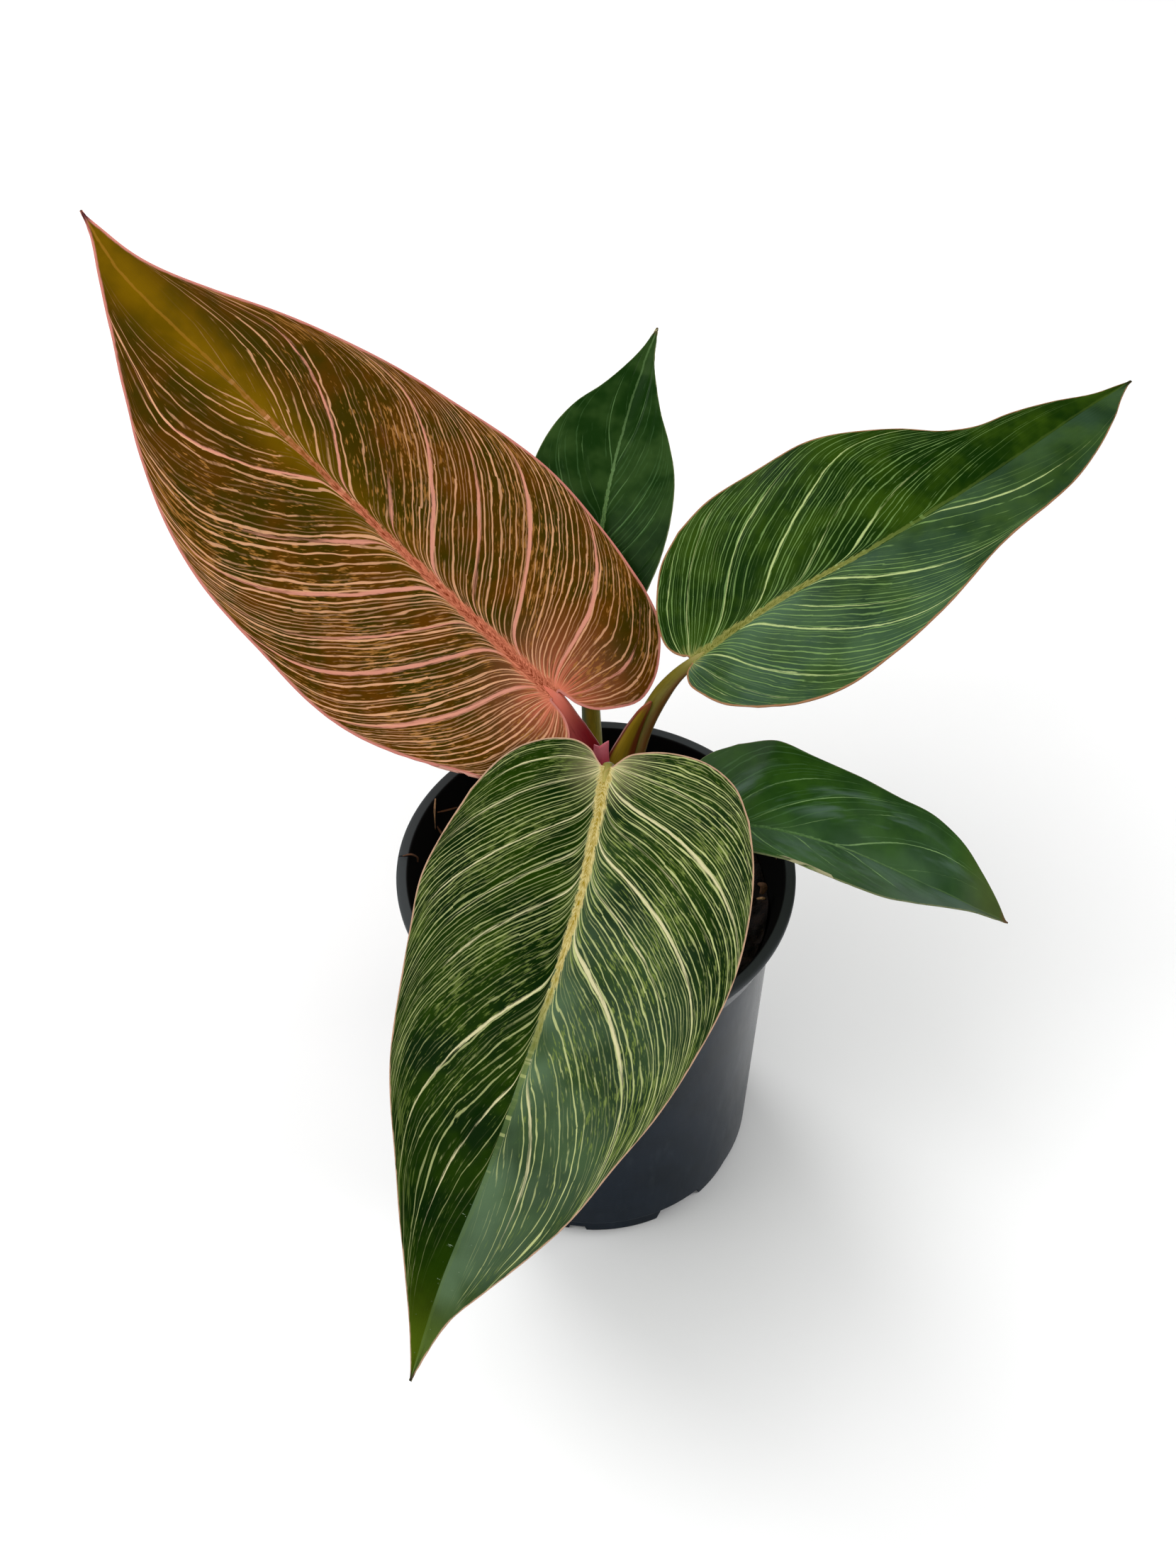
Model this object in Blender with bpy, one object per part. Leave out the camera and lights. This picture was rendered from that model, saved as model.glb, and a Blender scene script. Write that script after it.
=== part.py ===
"""Potted pink birkin philodendron: five striped blades on petioles round a short stem, in a nursery pot.

Driving dimensions are in millimetres and MM turns them into Blender's metres. +Z is up, -Y is the
front, and the origin is the centre of the pot's flat base.
"""
import math
from dataclasses import dataclass

import bmesh
import bpy
import numpy as np
from mathutils import Matrix, Vector

MM = 0.001
CLEARANCE = 0.3

# The pot: a 120 mm nursery pot with a collar under its lip and an inset foot
RIM_RADIUS = 60.0
POT_HEIGHT = 128.0
LIP_WIDTH = 3.5
LIP_DROP = 2.6
COLLAR_TOP_RADIUS = 58.4
COLLAR_FOOT_RADIUS = 55.9
COLLAR_FOOT_Z = 114.5
BODY_TOP_RADIUS = 54.0
BODY_FOOT_RADIUS = 49.4
FOOT_STEP_Z = 7.0
FOOT_RADIUS = 47.5
FOOT_SPLAY = 0.4
EDGE_ROUND = 0.6
WALL = 1.5
FLOOR = 1.8
POT_SIDES = 64
CUTTER_OVERSHOOT = 3.0

# Notches round the pot's foot, four wide and four narrow, cut into pockets with a drain hole each
NOTCH_INNER_RADIUS = 40.0
WIDE_NOTCH = {"centre": 35.0, "width": 18.0, "height": 6.7}
NARROW_NOTCH = {"centre": -7.0, "width": 6.5, "height": 2.6}
NOTCH_TOP_SHARE = 0.74
NOTCHES_OF_EACH = 4
DRAIN_RADIUS = 2.6
DRAIN_SIDES = 16

# The soil and the stem that stands in it
SOIL_LEVEL = 115.5
SOIL_EDGE_DROP = 1.2
SOIL_RINGS = 9
SOIL_MOUND_HEIGHT = 2.5
SOIL_MOUND_REACH = 14.0
# Each ripple of the soil's top: its height, its turns per mm across and back, and its start
SOIL_RIPPLES = ((0.55, 0.20, 0.17, -0.6), (0.55, 0.20, -0.17, 1.6), (0.7, 0.37, 0.29, 2.0),
                (0.4, 0.71, -0.63, 0.0))
STEM_CENTRE = (3.0, 11.0)
STEM_SEAT_Z = 103.0
STEM_TOP_Z = 138.0
STEM_RADIUS = 6.2
STEM_TOP_RADIUS = 4.6
STEM_LEAN = (0.8, 1.5)
HOLE_SIDES = 24
STEM_SIDES = 18
STEM_LEVELS = 26
SCAR_HEIGHTS = (119.0, 124.0, 129.0, 133.5)
SCAR_BULGE = 0.55
SCAR_REACH = 0.9

# A blade: its sheet, its rib underneath, and how its side veins are laid out
SHEET = 0.7
RIB_DEPTH = 2.4
RIB_TIP_DEPTH = 0.9
RIB_HALF_WIDTH = 1.5
RIB_END_HALF_WIDTH = 0.2
RIB_TAPER = 0.7
FULL_RIB_LENGTH = 190.0
VEIN_CROWDING = 1.9
LOBE_FADE = 6
VEIN_BOW = 0.8


def lerp(a, b, share):
    """The point a given share of the way from a to b."""
    return a + (b - a) * share


def smooth_curve(points, count):
    """Evenly spaced points on a smooth curve through the given ones."""
    knots = np.array(points, float)
    chord = np.concatenate([[0.0], np.cumsum(np.linalg.norm(np.diff(knots, axis=0), axis=1))])
    slope = np.gradient(knots, chord, axis=0)
    place = np.linspace(0.0, chord[-1], 12 * len(knots) + 1)
    span = np.clip(np.searchsorted(chord, place, side="right") - 1, 0, len(knots) - 2)
    width = (chord[span + 1] - chord[span])[:, None]
    f = (place - chord[span])[:, None] / width
    curve = ((1 + 2 * f) * (1 - f) ** 2 * knots[span] + f * (1 - f) ** 2 * width * slope[span]
             + f * f * (3 - 2 * f) * knots[span + 1] + f * f * (f - 1) * width * slope[span + 1])
    length = np.concatenate([[0.0], np.cumsum(np.linalg.norm(np.diff(curve, axis=0), axis=1))])
    even = np.linspace(0.0, length[-1], count)
    return np.stack([np.interp(even, length, column) for column in curve.T], axis=-1)


def along(values, share):
    """A list of values spread evenly over 0 to 1, read at the given shares."""
    return np.interp(share, np.linspace(0.0, 1.0, len(values)), values)


@dataclass(frozen=True)
class Half:
    """One half of a blade's flat outline, as (across, along) points in mm from the petiole's end.

    lobe runs from the rib round the back lobe, and edge from the lobe's last point to the tip.
    """

    lobe: tuple
    edge: tuple


@dataclass(frozen=True)
class BladeShape:
    """A blade's midrib in space and how the sheet stands on it.

    roll tips the blade to its right, fold lifts both halves off flat, and each is listed from base to
    tip in degrees. curl is how many degrees a half bends back down over every 10 mm across.
    """

    name: str
    midrib: tuple
    roll: tuple
    fold: tuple
    curl: float
    wave: float
    left: Half
    right: Half
    rows: int
    columns: int


class BladeSurface:
    """Turns a blade's flat (across, along) coordinates into points in space."""

    WAVE_LENGTH = 58.0
    WAVE_REACH = 45.0
    RIGHT_WAVE_LEAD = 2.4
    TANGENT_SPAN = 4.0

    def __init__(self, shape):
        self.shape = shape
        self.midrib = smooth_curve(shape.midrib, 400)
        steps = np.linalg.norm(np.diff(self.midrib, axis=0), axis=1)
        self.station = np.concatenate([[0.0], np.cumsum(steps)])
        self.length = self.station[-1]

    def on_midrib(self, y):
        return np.stack([np.interp(y, self.station, column) for column in self.midrib.T], axis=-1)

    def frame(self, y):
        """Midrib point, direction, right-hand side and upper face at each distance along."""
        inside = np.clip(y, 0.0, self.length)
        ahead = self.on_midrib(np.clip(inside + self.TANGENT_SPAN, 0.0, self.length))
        behind = self.on_midrib(np.clip(inside - self.TANGENT_SPAN, 0.0, self.length))
        forward = (ahead - behind) / np.linalg.norm(ahead - behind, axis=-1, keepdims=True)
        point = self.on_midrib(inside) + forward * (y - inside)[..., None]
        level = np.cross(forward, (0.0, 0.0, 1.0))
        level /= np.linalg.norm(level, axis=-1, keepdims=True)
        upright = np.cross(level, forward)
        roll = np.radians(along(self.shape.roll, inside / self.length))[..., None]
        right = np.cos(roll) * level - np.sin(roll) * upright
        up = np.cos(roll) * upright + np.sin(roll) * level
        return point, forward, right, up

    def point(self, x, y):
        """Points in space, in mm."""
        start, _, right, up = self.frame(y)
        fold = np.radians(along(self.shape.fold, np.clip(y / self.length, 0.0, 1.0)))
        bend = math.radians(self.shape.curl) / 10.0
        reach = np.abs(x)
        sideways = (np.sin(fold) - np.sin(fold - bend * reach)) / bend
        height = (np.cos(fold - bend * reach) - np.cos(fold)) / bend
        phase = 2 * np.pi * y / self.WAVE_LENGTH + np.where(x > 0, self.RIGHT_WAVE_LEAD, 0.0)
        height = height + self.shape.wave * (reach / self.WAVE_REACH) ** 2 * np.sin(phase)
        return start + right * (np.sign(x) * sideways)[..., None] + up * height[..., None]


def half_veins(half, length, s, t):
    """Flat points of one half: s picks the side vein, base to tip, and t runs from rib to margin."""
    rib = RIB_HALF_WIDTH * (1.0 - s) ** RIB_TAPER * length / FULL_RIB_LENGTH + RIB_END_HALF_WIDTH
    start = np.stack([rib, length * s ** VEIN_CROWDING], axis=-1)
    edge = smooth_curve(half.edge, 200)
    lobe = smooth_curve(half.lobe, 200)
    ends = np.stack([along(column, s) for column in edge.T], axis=-1)
    bulge = np.stack([along(column, t) for column in lobe.T], axis=-1) - lerp(lobe[0], lobe[-1], t[..., None])
    fade = (1.0 - s) ** LOBE_FADE
    bow = VEIN_BOW * t * (1.0 - t) * (1.0 - fade) * (ends - start)[..., 0]
    flat = lerp(start, ends, t[..., None]) + fade[..., None] * bulge
    flat[..., 0] += bow
    return flat


def blade_grid(shape, length):
    """Flat grid of a whole blade, one row for each side vein and columns from left margin to right."""
    s, t = np.meshgrid(np.linspace(0.0, 1.0, shape.rows + 1), np.linspace(0.0, 1.0, shape.columns + 1),
                       indexing="ij")
    right = half_veins(shape.right, length, s, t)
    left = half_veins(shape.left, length, s, t)[:, ::-1] * (-1.0, 1.0)
    rib = np.stack([np.zeros(shape.rows + 1), right[:, 0, 1]], axis=-1)[:, None]
    return np.concatenate([left, rib, right], axis=1)


def finish_object(name, mesh, material, smooth_angle=40.0):
    """Link a mesh as a named object with its material, shaded smooth."""
    item = bpy.data.objects.new(name, mesh)
    bpy.context.scene.collection.objects.link(item)
    mesh.materials.append(material)
    mesh.shade_smooth()
    mesh.set_sharp_from_angle(angle=math.radians(smooth_angle))
    return item


def finish_material(name, color, roughness, metallic=0.0):
    """A Principled BSDF with one plain colour."""
    material = bpy.data.materials.new(name)
    material.use_nodes = True
    shader = material.node_tree.nodes["Principled BSDF"]
    shader.inputs["Base Color"].default_value = (*color, 1.0)
    shader.inputs["Roughness"].default_value = roughness
    shader.inputs["Metallic"].default_value = metallic
    return material


def skin(rings, name):
    """A closed body through a list of rings of points in mm, each end closed flat."""
    count = len(rings[0])
    vertices = [tuple(component * MM for component in point) for ring in rings for point in ring]
    faces = [tuple(reversed(range(count)))]
    for level in range(len(rings) - 1):
        for side in range(count):
            a = level * count + side
            b = level * count + (side + 1) % count
            faces.append((a, b, b + count, a + count))
    last = (len(rings) - 1) * count
    faces.append(tuple(range(last, last + count)))
    mesh = bpy.data.meshes.new(name)
    mesh.from_pydata(vertices, [], faces)
    mesh.validate()
    return mesh


def circle(radius, z, sides, centre=(0.0, 0.0)):
    """A level ring of points, anticlockwise seen from above."""
    turns = [2 * math.pi * side / sides for side in range(sides)]
    return [(centre[0] + radius * math.cos(a), centre[1] + radius * math.sin(a), z) for a in turns]


def cut(item, cutter, operation="DIFFERENCE"):
    """Apply a Boolean with one cutter object, and remove the cutter."""
    bpy.context.view_layer.objects.active = item
    modifier = item.modifiers.new("cut", "BOOLEAN")
    modifier.object = cutter
    modifier.operation = operation
    modifier.solver = "EXACT"
    with bpy.context.temp_override(object=item, active_object=item):
        bpy.ops.object.modifier_apply(modifier=modifier.name)
    bpy.data.objects.remove(cutter, do_unlink=True)


def cutter_object(mesh):
    """A guide object, left out of the finished model."""
    item = bpy.data.objects.new("cutter", mesh)
    bpy.context.scene.collection.objects.link(item)
    item.hide_render = True
    item.display_type = "WIRE"
    return item


def body_radius(z):
    """Outer radius of the pot's tapered body."""
    return lerp(BODY_FOOT_RADIUS, BODY_TOP_RADIUS, (z - FOOT_STEP_Z) / (COLLAR_FOOT_Z - FOOT_STEP_Z))


def outer_profile():
    """Radius and height of the pot's outside, from its foot up to its lip."""
    lip_foot = POT_HEIGHT - LIP_DROP
    return [(FOOT_RADIUS - EDGE_ROUND, 0.0), (FOOT_RADIUS, EDGE_ROUND),
            (FOOT_RADIUS + FOOT_SPLAY, FOOT_STEP_Z - EDGE_ROUND), (BODY_FOOT_RADIUS, FOOT_STEP_Z),
            (BODY_TOP_RADIUS, COLLAR_FOOT_Z), (COLLAR_FOOT_RADIUS - EDGE_ROUND, COLLAR_FOOT_Z),
            (COLLAR_FOOT_RADIUS, COLLAR_FOOT_Z + EDGE_ROUND), (COLLAR_TOP_RADIUS, lip_foot),
            (RIM_RADIUS - EDGE_ROUND, lip_foot), (RIM_RADIUS, lip_foot + EDGE_ROUND),
            (RIM_RADIUS, POT_HEIGHT - EDGE_ROUND), (RIM_RADIUS - EDGE_ROUND, POT_HEIGHT)]


def inner_profile(gap):
    """Radius and height of the pot's inner wall from floor to lip, drawn in by a gap."""
    step = FOOT_STEP_Z + WALL
    shoulder = COLLAR_FOOT_Z - WALL
    lip_inner = RIM_RADIUS - LIP_WIDTH - EDGE_ROUND
    return [(FOOT_RADIUS - WALL - gap, FLOOR + gap),
            (FOOT_RADIUS - WALL - gap, FOOT_STEP_Z - WALL / 2),
            (body_radius(step) - WALL - gap, step),
            (body_radius(shoulder) - WALL - gap, shoulder),
            (lip_inner - gap, POT_HEIGHT - WALL)]


def notch_prism(notch, turn, grow, outer_radius):
    """The wedge of one foot notch, made larger all round by grow."""
    half = notch["width"] / 2 + grow
    top_half = half * NOTCH_TOP_SHARE + grow * (1 - NOTCH_TOP_SHARE)
    top = notch["height"] + grow
    near, far = -outer_radius, -(NOTCH_INNER_RADIUS - grow)
    corners = [(-half, -1.0), (half, -1.0), (top_half, top), (-top_half, top)]
    rings = [[(x, y, z) for x, z in corners] for y in (far, near)]
    mesh = skin(rings, "notch")
    mesh.transform(Matrix.Rotation(math.radians(turn), 4, "Z"))
    return mesh


def pocket_reach(notch):
    """How far out a pocket's walls run, so that their corners end inside the foot's wall."""
    half = notch["width"] / 2 + WALL
    return math.sqrt((FOOT_RADIUS - WALL / 10) ** 2 - half ** 2)


def notches():
    """Every notch with the angle it stands at, turned from the front."""
    for quarter in range(NOTCHES_OF_EACH):
        for notch in (WIDE_NOTCH, NARROW_NOTCH):
            yield notch, notch["centre"] + 360.0 / NOTCHES_OF_EACH * quarter


def make_pot(material):
    """The pot: one moulded shell with a lip, a collar and a notched foot."""
    inside = [(RIM_RADIUS - LIP_WIDTH, POT_HEIGHT)] + inner_profile(0.0)[::-1]
    mesh = skin([circle(radius, z, POT_SIDES) for radius, z in outer_profile() + inside], "pot")
    pot = finish_object("pot", mesh, material)
    for notch, turn in notches():
        cut(pot, cutter_object(notch_prism(notch, turn, WALL, pocket_reach(notch))), "UNION")
    below = [circle(2 * RIM_RADIUS, z, 4) for z in (-CUTTER_OVERSHOOT, 0.0)]
    cut(pot, cutter_object(skin(below, "below")))
    for notch, turn in notches():
        cut(pot, cutter_object(notch_prism(notch, turn, 0.0, RIM_RADIUS)))
    drain_distance = (NOTCH_INNER_RADIUS + FOOT_RADIUS) / 2
    for quarter in range(NOTCHES_OF_EACH):
        turn = math.radians(WIDE_NOTCH["centre"] + 360.0 / NOTCHES_OF_EACH * quarter)
        centre = (drain_distance * math.sin(turn), -drain_distance * math.cos(turn))
        ends = (WIDE_NOTCH["height"] - CUTTER_OVERSHOOT, WIDE_NOTCH["height"] + CUTTER_OVERSHOOT)
        drain = skin([circle(DRAIN_RADIUS, z, DRAIN_SIDES, centre) for z in ends], "drain")
        cut(pot, cutter_object(drain))
    return pot


def soil_height(x, y):
    """Height of the soil's uneven top, with a low mound round the stem."""
    ripple = sum(height * math.sin(across * x + back * y + start)
                 for height, across, back, start in SOIL_RIPPLES)
    away = math.hypot(x - STEM_CENTRE[0], y - STEM_CENTRE[1])
    return SOIL_LEVEL + ripple + SOIL_MOUND_HEIGHT * math.exp(-(away / SOIL_MOUND_REACH) ** 2)


def make_soil(material):
    """The potting soil, filling the pot to just under its collar, with a plain hole for the stem."""
    side = inner_profile(CLEARANCE)
    wall_radii, wall_heights = zip(*side)
    rings = [circle(radius, z, POT_SIDES) for radius, z in side[:-1]]
    edge = []
    for x, y, _ in circle(1.0, 0.0, POT_SIDES):
        z = soil_height(x * BODY_TOP_RADIUS, y * BODY_TOP_RADIUS) - SOIL_EDGE_DROP
        radius = np.interp(z, wall_heights, wall_radii)
        edge.append((x * radius, y * radius, z))
    rings.append(edge)
    for ring in range(1, SOIL_RINGS):
        share = 1 - ring / SOIL_RINGS
        rings.append([(x * share, y * share, soil_height(x * share, y * share)) for x, y, _ in edge])
    soil = finish_object("soil", skin(rings, "soil"), material, 60.0)
    for notch, turn in notches():
        cut(soil, cutter_object(notch_prism(notch, turn, WALL + CLEARANCE, RIM_RADIUS)))
    hole = [circle(STEM_RADIUS + CLEARANCE, z, HOLE_SIDES, STEM_CENTRE)
            for z in (STEM_SEAT_Z - CLEARANCE, STEM_TOP_Z)]
    cut(soil, cutter_object(skin(hole, "stem hole")))
    return soil


def stem_rings(grow):
    """Rings of the stem: straight in the soil, then leaning, with a low scar under each petiole."""
    rings = []
    for z in np.linspace(STEM_SEAT_Z, STEM_TOP_Z, STEM_LEVELS):
        above = max(0.0, (z - SOIL_LEVEL) / (STEM_TOP_Z - SOIL_LEVEL))
        scar = sum(SCAR_BULGE * math.exp(-((z - height) / SCAR_REACH) ** 2) for height in SCAR_HEIGHTS)
        radius = lerp(STEM_RADIUS - SCAR_BULGE, STEM_TOP_RADIUS, above) + scar + grow
        centre = (STEM_CENTRE[0] + STEM_LEAN[0] * above ** 2, STEM_CENTRE[1] + STEM_LEAN[1] * above ** 2)
        rings.append(circle(radius, z, STEM_SIDES, centre))
    if grow:
        rings.insert(0, [(x, y, z - grow) for x, y, z in rings[0]])
        rings.append([(x, y, z + grow) for x, y, z in rings[-1]])
    return rings


def make_stem(material):
    """The short stem that every petiole leaves from."""
    return finish_object("stem", skin(stem_rings(0.0), "stem"), material)


@dataclass(frozen=True)
class PetioleShape:
    """A petiole: its middle line in mm, and its section from stem to blade.

    width and depth are the section's half sizes, cup is how far its two sides rise towards face, the
    direction that its hollow side looks in.
    """

    name: str
    route: tuple
    face: tuple
    width: tuple
    depth: tuple
    cup: tuple
    stations: int = 15
    sides: int = 12


def petiole_rings(shape, route):
    """Rings of a petiole's cupped section along its route."""
    forward = np.gradient(route, axis=0)
    forward /= np.linalg.norm(forward, axis=1, keepdims=True)
    face = np.array(shape.face, float)
    up = face - (forward @ face)[:, None] * forward
    up /= np.linalg.norm(up, axis=1, keepdims=True)
    right = np.cross(forward, up)
    rings = []
    for index, share in enumerate(np.linspace(0.0, 1.0, shape.stations)):
        width, depth, cup = (along(values, share) for values in (shape.width, shape.depth, shape.cup))
        ring = []
        for side in range(shape.sides):
            angle = 2 * math.pi * side / shape.sides
            across, rise = width * math.cos(angle), depth * math.sin(angle)
            rise += cup * math.cos(angle) ** 2
            ring.append(route[index] + right[index] * across + up[index] * rise)
        rings.append(ring[::-1])
    return rings


def make_petiole(shape, blade, material):
    """A petiole, cut to fit round the stem and mitred against the end of the blade's rib."""
    start, forward, right, up = BladeSurface(blade).frame(np.array(0.0))
    end = start - up * RIB_DEPTH / 2
    route = smooth_curve(shape.route + (tuple(end),), shape.stations)
    item = finish_object(shape.name, skin(petiole_rings(shape, route), shape.name), material)
    cut(item, cutter_object(skin(stem_rings(CLEARANCE), "stem fit")))
    arrival = (route[-1] - route[-2]) / np.linalg.norm(route[-1] - route[-2])
    mitre = (arrival + forward) / np.linalg.norm(arrival + forward)
    rib_reach = abs(mitre @ up) * RIB_DEPTH / 2 + abs(mitre @ right) * RIB_HALF_WIDTH
    seat = end - mitre * (CLEARANCE + rib_reach)
    shell = bmesh.new()
    shell.from_mesh(item.data)
    geometry = shell.verts[:] + shell.edges[:] + shell.faces[:]
    trimmed = bmesh.ops.bisect_plane(shell, geom=geometry, dist=1e-7, plane_co=Vector(seat * MM),
                                     plane_no=Vector(mitre), clear_outer=True)
    rim = [edge for edge in trimmed["geom_cut"] if isinstance(edge, bmesh.types.BMEdge)]
    bmesh.ops.holes_fill(shell, edges=rim)
    bmesh.ops.recalc_face_normals(shell, faces=shell.faces)
    shell.to_mesh(item.data)
    shell.free()
    return item


def make_bud(material):
    """The pointed tip of the next leaf, rolled up in front of the newest petiole."""
    route = smooth_curve(BUD_ROUTE, BUD_STATIONS)
    rings = []
    for index, share in enumerate(np.linspace(0.0, 1.0, BUD_STATIONS)):
        radius = BUD_RADIUS * (1.0 - share ** BUD_TAPER) + BUD_TIP_RADIUS
        rings.append(circle(radius, route[index][2], BUD_STATIONS, route[index][:2]))
    return finish_object("bud", skin(rings, "bud"), material)


def make_blade(shape, material):
    """One blade: a grid of triangles thickened downwards, most along its rib."""
    surface = BladeSurface(shape)
    flat = blade_grid(shape, surface.length)
    points = surface.point(flat[..., 0], flat[..., 1]) * MM
    rows, columns = flat.shape[:2]
    faces = []
    for row in range(rows - 1):
        for column in range(columns - 1):
            a = row * columns + column
            corners = (a, a + 1, a + 1 + columns, a + columns)
            if column < columns // 2:
                faces += [corners[:3], (corners[0], corners[2], corners[3])]
            else:
                faces += [(corners[0], corners[1], corners[3]), corners[1:]]
    mesh = bpy.data.meshes.new(shape.name)
    mesh.from_pydata(points.reshape(-1, 3).tolist(), [], faces)
    item = finish_object(shape.name, mesh, material)
    thickness = item.vertex_groups.new(name="thickness")
    for row in range(rows):
        share = flat[row, columns // 2, 1] / surface.length
        for column in range(columns):
            depth = lerp(RIB_DEPTH, RIB_TIP_DEPTH, share) if column == columns // 2 else SHEET
            thickness.add([row * columns + column], depth / RIB_DEPTH, "REPLACE")
    solidify = item.modifiers.new("thickness", "SOLIDIFY")
    solidify.thickness = RIB_DEPTH * MM
    solidify.offset = -1.0
    solidify.vertex_group = "thickness"
    return item


# The five blades. Each midrib starts at its petiole's end
PINK_BLADE = BladeShape(
    "blade_pink",
    midrib=((-12, 20, 184), (-38, 35, 204), (-67, 52, 227), (-108, 82, 255), (-138, 108, 271),
            (-149, 126, 276)),
    roll=(-16, -12), fold=(14, 6), curl=4.0, wave=0.9,
    left=Half(lobe=((1.5, 0), (2.6, -1), (3.2, -4), (7, -10), (14, -13), (23, -11), (31, -5), (38, 7)),
              edge=((38, 7), (44, 18), (50, 34), (52.5, 52), (51.5, 72), (49, 92), (43, 113), (34, 132),
                    (24, 149), (14, 163), (6, 177), (2, 188), (0.5, 199))),
    right=Half(lobe=((1.5, 0), (2.6, -1), (3.2, -5), (5.5, -11), (9.5, -15.5), (16, -19.5), (24, -18.5),
                     (31, -14.5), (38.5, -7), (42.5, 2)),
               edge=((42.5, 2), (47, 18), (49.5, 40), (48, 60), (43, 84), (34, 112), (27, 130), (17, 150),
                     (8, 172), (3, 189), (0.5, 199))),
    rows=24, columns=8)

FRONT_BLADE = BladeShape(
    "blade_front",
    midrib=((3, -5, 182), (-4, -42, 173), (-16, -82, 161), (-28, -113, 145), (-42, -139, 123),
            (-51, -154, 98)),
    roll=(0, 0), fold=(12, 6), curl=4.0, wave=0.9,
    left=Half(lobe=((1.5, 0), (2.7, -1.2), (5, -3.4), (11, -5.2), (20, -5.5), (29, -3.5), (37, 2), (43, 13)),
              edge=((43, 13), (46.5, 27), (48, 44), (47.5, 60), (44, 78), (39.2, 94), (32.2, 111),
                    (26.2, 127), (20, 139), (12, 153), (5.8, 164), (2.8, 174), (0.5, 187))),
    right=Half(lobe=((1.5, 0), (2.7, -1.2), (5, -4), (9, -6), (16, -5.5), (24, -2), (31, 4.5), (37, 14)),
               edge=((37, 14), (42, 28), (45, 45), (43.5, 64), (41, 82), (36.5, 103), (29.8, 121), (21, 139),
                     (11, 157), (5.8, 169), (2.4, 179), (0.5, 187))),
    rows=24, columns=8)

RIGHT_BLADE = BladeShape(
    "blade_right",
    midrib=((27, 21, 198), (50, 29, 213), (80, 42, 224), (110, 62, 230), (143, 87, 235), (158, 102, 232)),
    roll=(0, 0), fold=(16, 10), curl=4.0, wave=1.3,
    left=Half(lobe=((1.5, 0), (2.8, -1.6), (7, -4), (15, -3.5), (24, 0.5), (32, 6), (38, 15)),
              edge=((38, 15), (42, 28), (44, 45), (43, 60), (38, 77), (29, 93), (19.5, 103), (15, 111),
                    (12.5, 121), (8, 134), (3, 147), (0.5, 163))),
    right=Half(lobe=((1.5, 0), (3, -1.8), (8, -3), (16, -0.5), (24, 4), (32, 12.5)),
               edge=((32, 12.5), (39, 24), (42, 36), (39.5, 50), (34, 63), (29, 74), (25, 85), (23, 96),
                     (22, 107), (20, 118), (15, 131), (9, 143), (3, 155), (0.5, 163))),
    rows=22, columns=8)

BACK_BLADE = BladeShape(
    "blade_back",
    midrib=((-1, 55, 186), (2, 75, 201), (6, 94, 209), (11, 113, 215), (19, 142, 218)),
    roll=(0, 0), fold=(12, 10), curl=4.0, wave=1.2,
    left=Half(lobe=((1.2, 0), (2.4, -1.2), (5, -4.5), (10, -6), (16, -1), (20, 10)),
              edge=((20, 10), (24, 25), (24, 38), (21, 51), (16, 61), (10, 69), (5, 79), (2, 88), (0.5, 96))),
    right=Half(lobe=((1.2, 0), (2.4, -1.2), (5.5, -4), (11, -3), (16, 5)),
               edge=((16, 5), (19, 15), (20.5, 28), (19, 42), (15, 53), (10, 63), (6, 73), (3, 82),
                     (0.5, 96))),
    rows=16, columns=5)

LOW_BLADE = BladeShape(
    "blade_low",
    midrib=((28, -1, 151), (46, -9, 160), (72, -15, 157), (89, -17, 148), (122, -19, 127)),
    roll=(-10, -6), fold=(28, 22, 16), curl=4.0, wave=1.2,
    left=Half(lobe=((1.2, 0), (2.4, -1.2), (5, -5), (10, -8), (17, -8), (24, -4), (28.5, 6)),
              edge=((28.5, 6), (29.5, 20), (27, 34), (25.5, 48), (24.5, 64), (24, 80), (20, 90), (13, 97),
                    (0.5, 107))),
    right=Half(lobe=((1.2, 0), (2.4, -1.2), (5.5, -4), (11, -5), (17, 2), (20, 12)),
               edge=((20, 12), (20, 26), (20, 36), (22.8, 45), (23, 54), (17, 67), (9, 82), (3, 95),
                     (0.5, 107))),
    rows=16, columns=5)

BLADES = (PINK_BLADE, FRONT_BLADE, RIGHT_BLADE, BACK_BLADE, LOW_BLADE)

# Their petioles, from inside the stem to just short of the blade's rib
PINK_PETIOLE = PetioleShape(
    "petiole_pink", route=((3, 12.6, 136), (0.5, 13.5, 148), (-2.5, 15, 160), (-7.5, 17, 172)),
    face=(0.5, -0.7, 0.5), width=(3.4, 4.4, 4.9, 4.0, 1.9), depth=(1.8, 1.7, 1.5, 1.5, 1.3),
    cup=(0.8, 2.0, 2.0, 1.0, 0.3))
FRONT_PETIOLE = PetioleShape(
    "petiole_front", route=((3, 9, 124), (3, 3, 136), (4, 0, 152), (4, -1, 168)),
    face=(0.0, 1.0, 0.3), width=(3.6, 3.2, 3.0, 2.8, 1.9), depth=(2.4, 2.4, 2.5, 2.3, 1.3),
    cup=(0.6, 0.6, 0.4, 0.3, 0.2))
RIGHT_PETIOLE = PetioleShape(
    "petiole_right", route=((7, 13.2, 127), (9.2, 15.6, 140), (10.6, 17.4, 155), (16, 20.3, 177)),
    face=(-0.55, -0.7, 0.4), width=(3.2, 3.8, 4.6, 4.9, 3.3, 2.9, 2.7, 1.9),
    depth=(2.2, 1.9, 1.6, 1.7, 2.2, 2.3, 2.2, 1.3), cup=(0.6, 1.2, 2.0, 1.8, 0.5, 0.2, 0.2, 0.2),
    stations=19)
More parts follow.
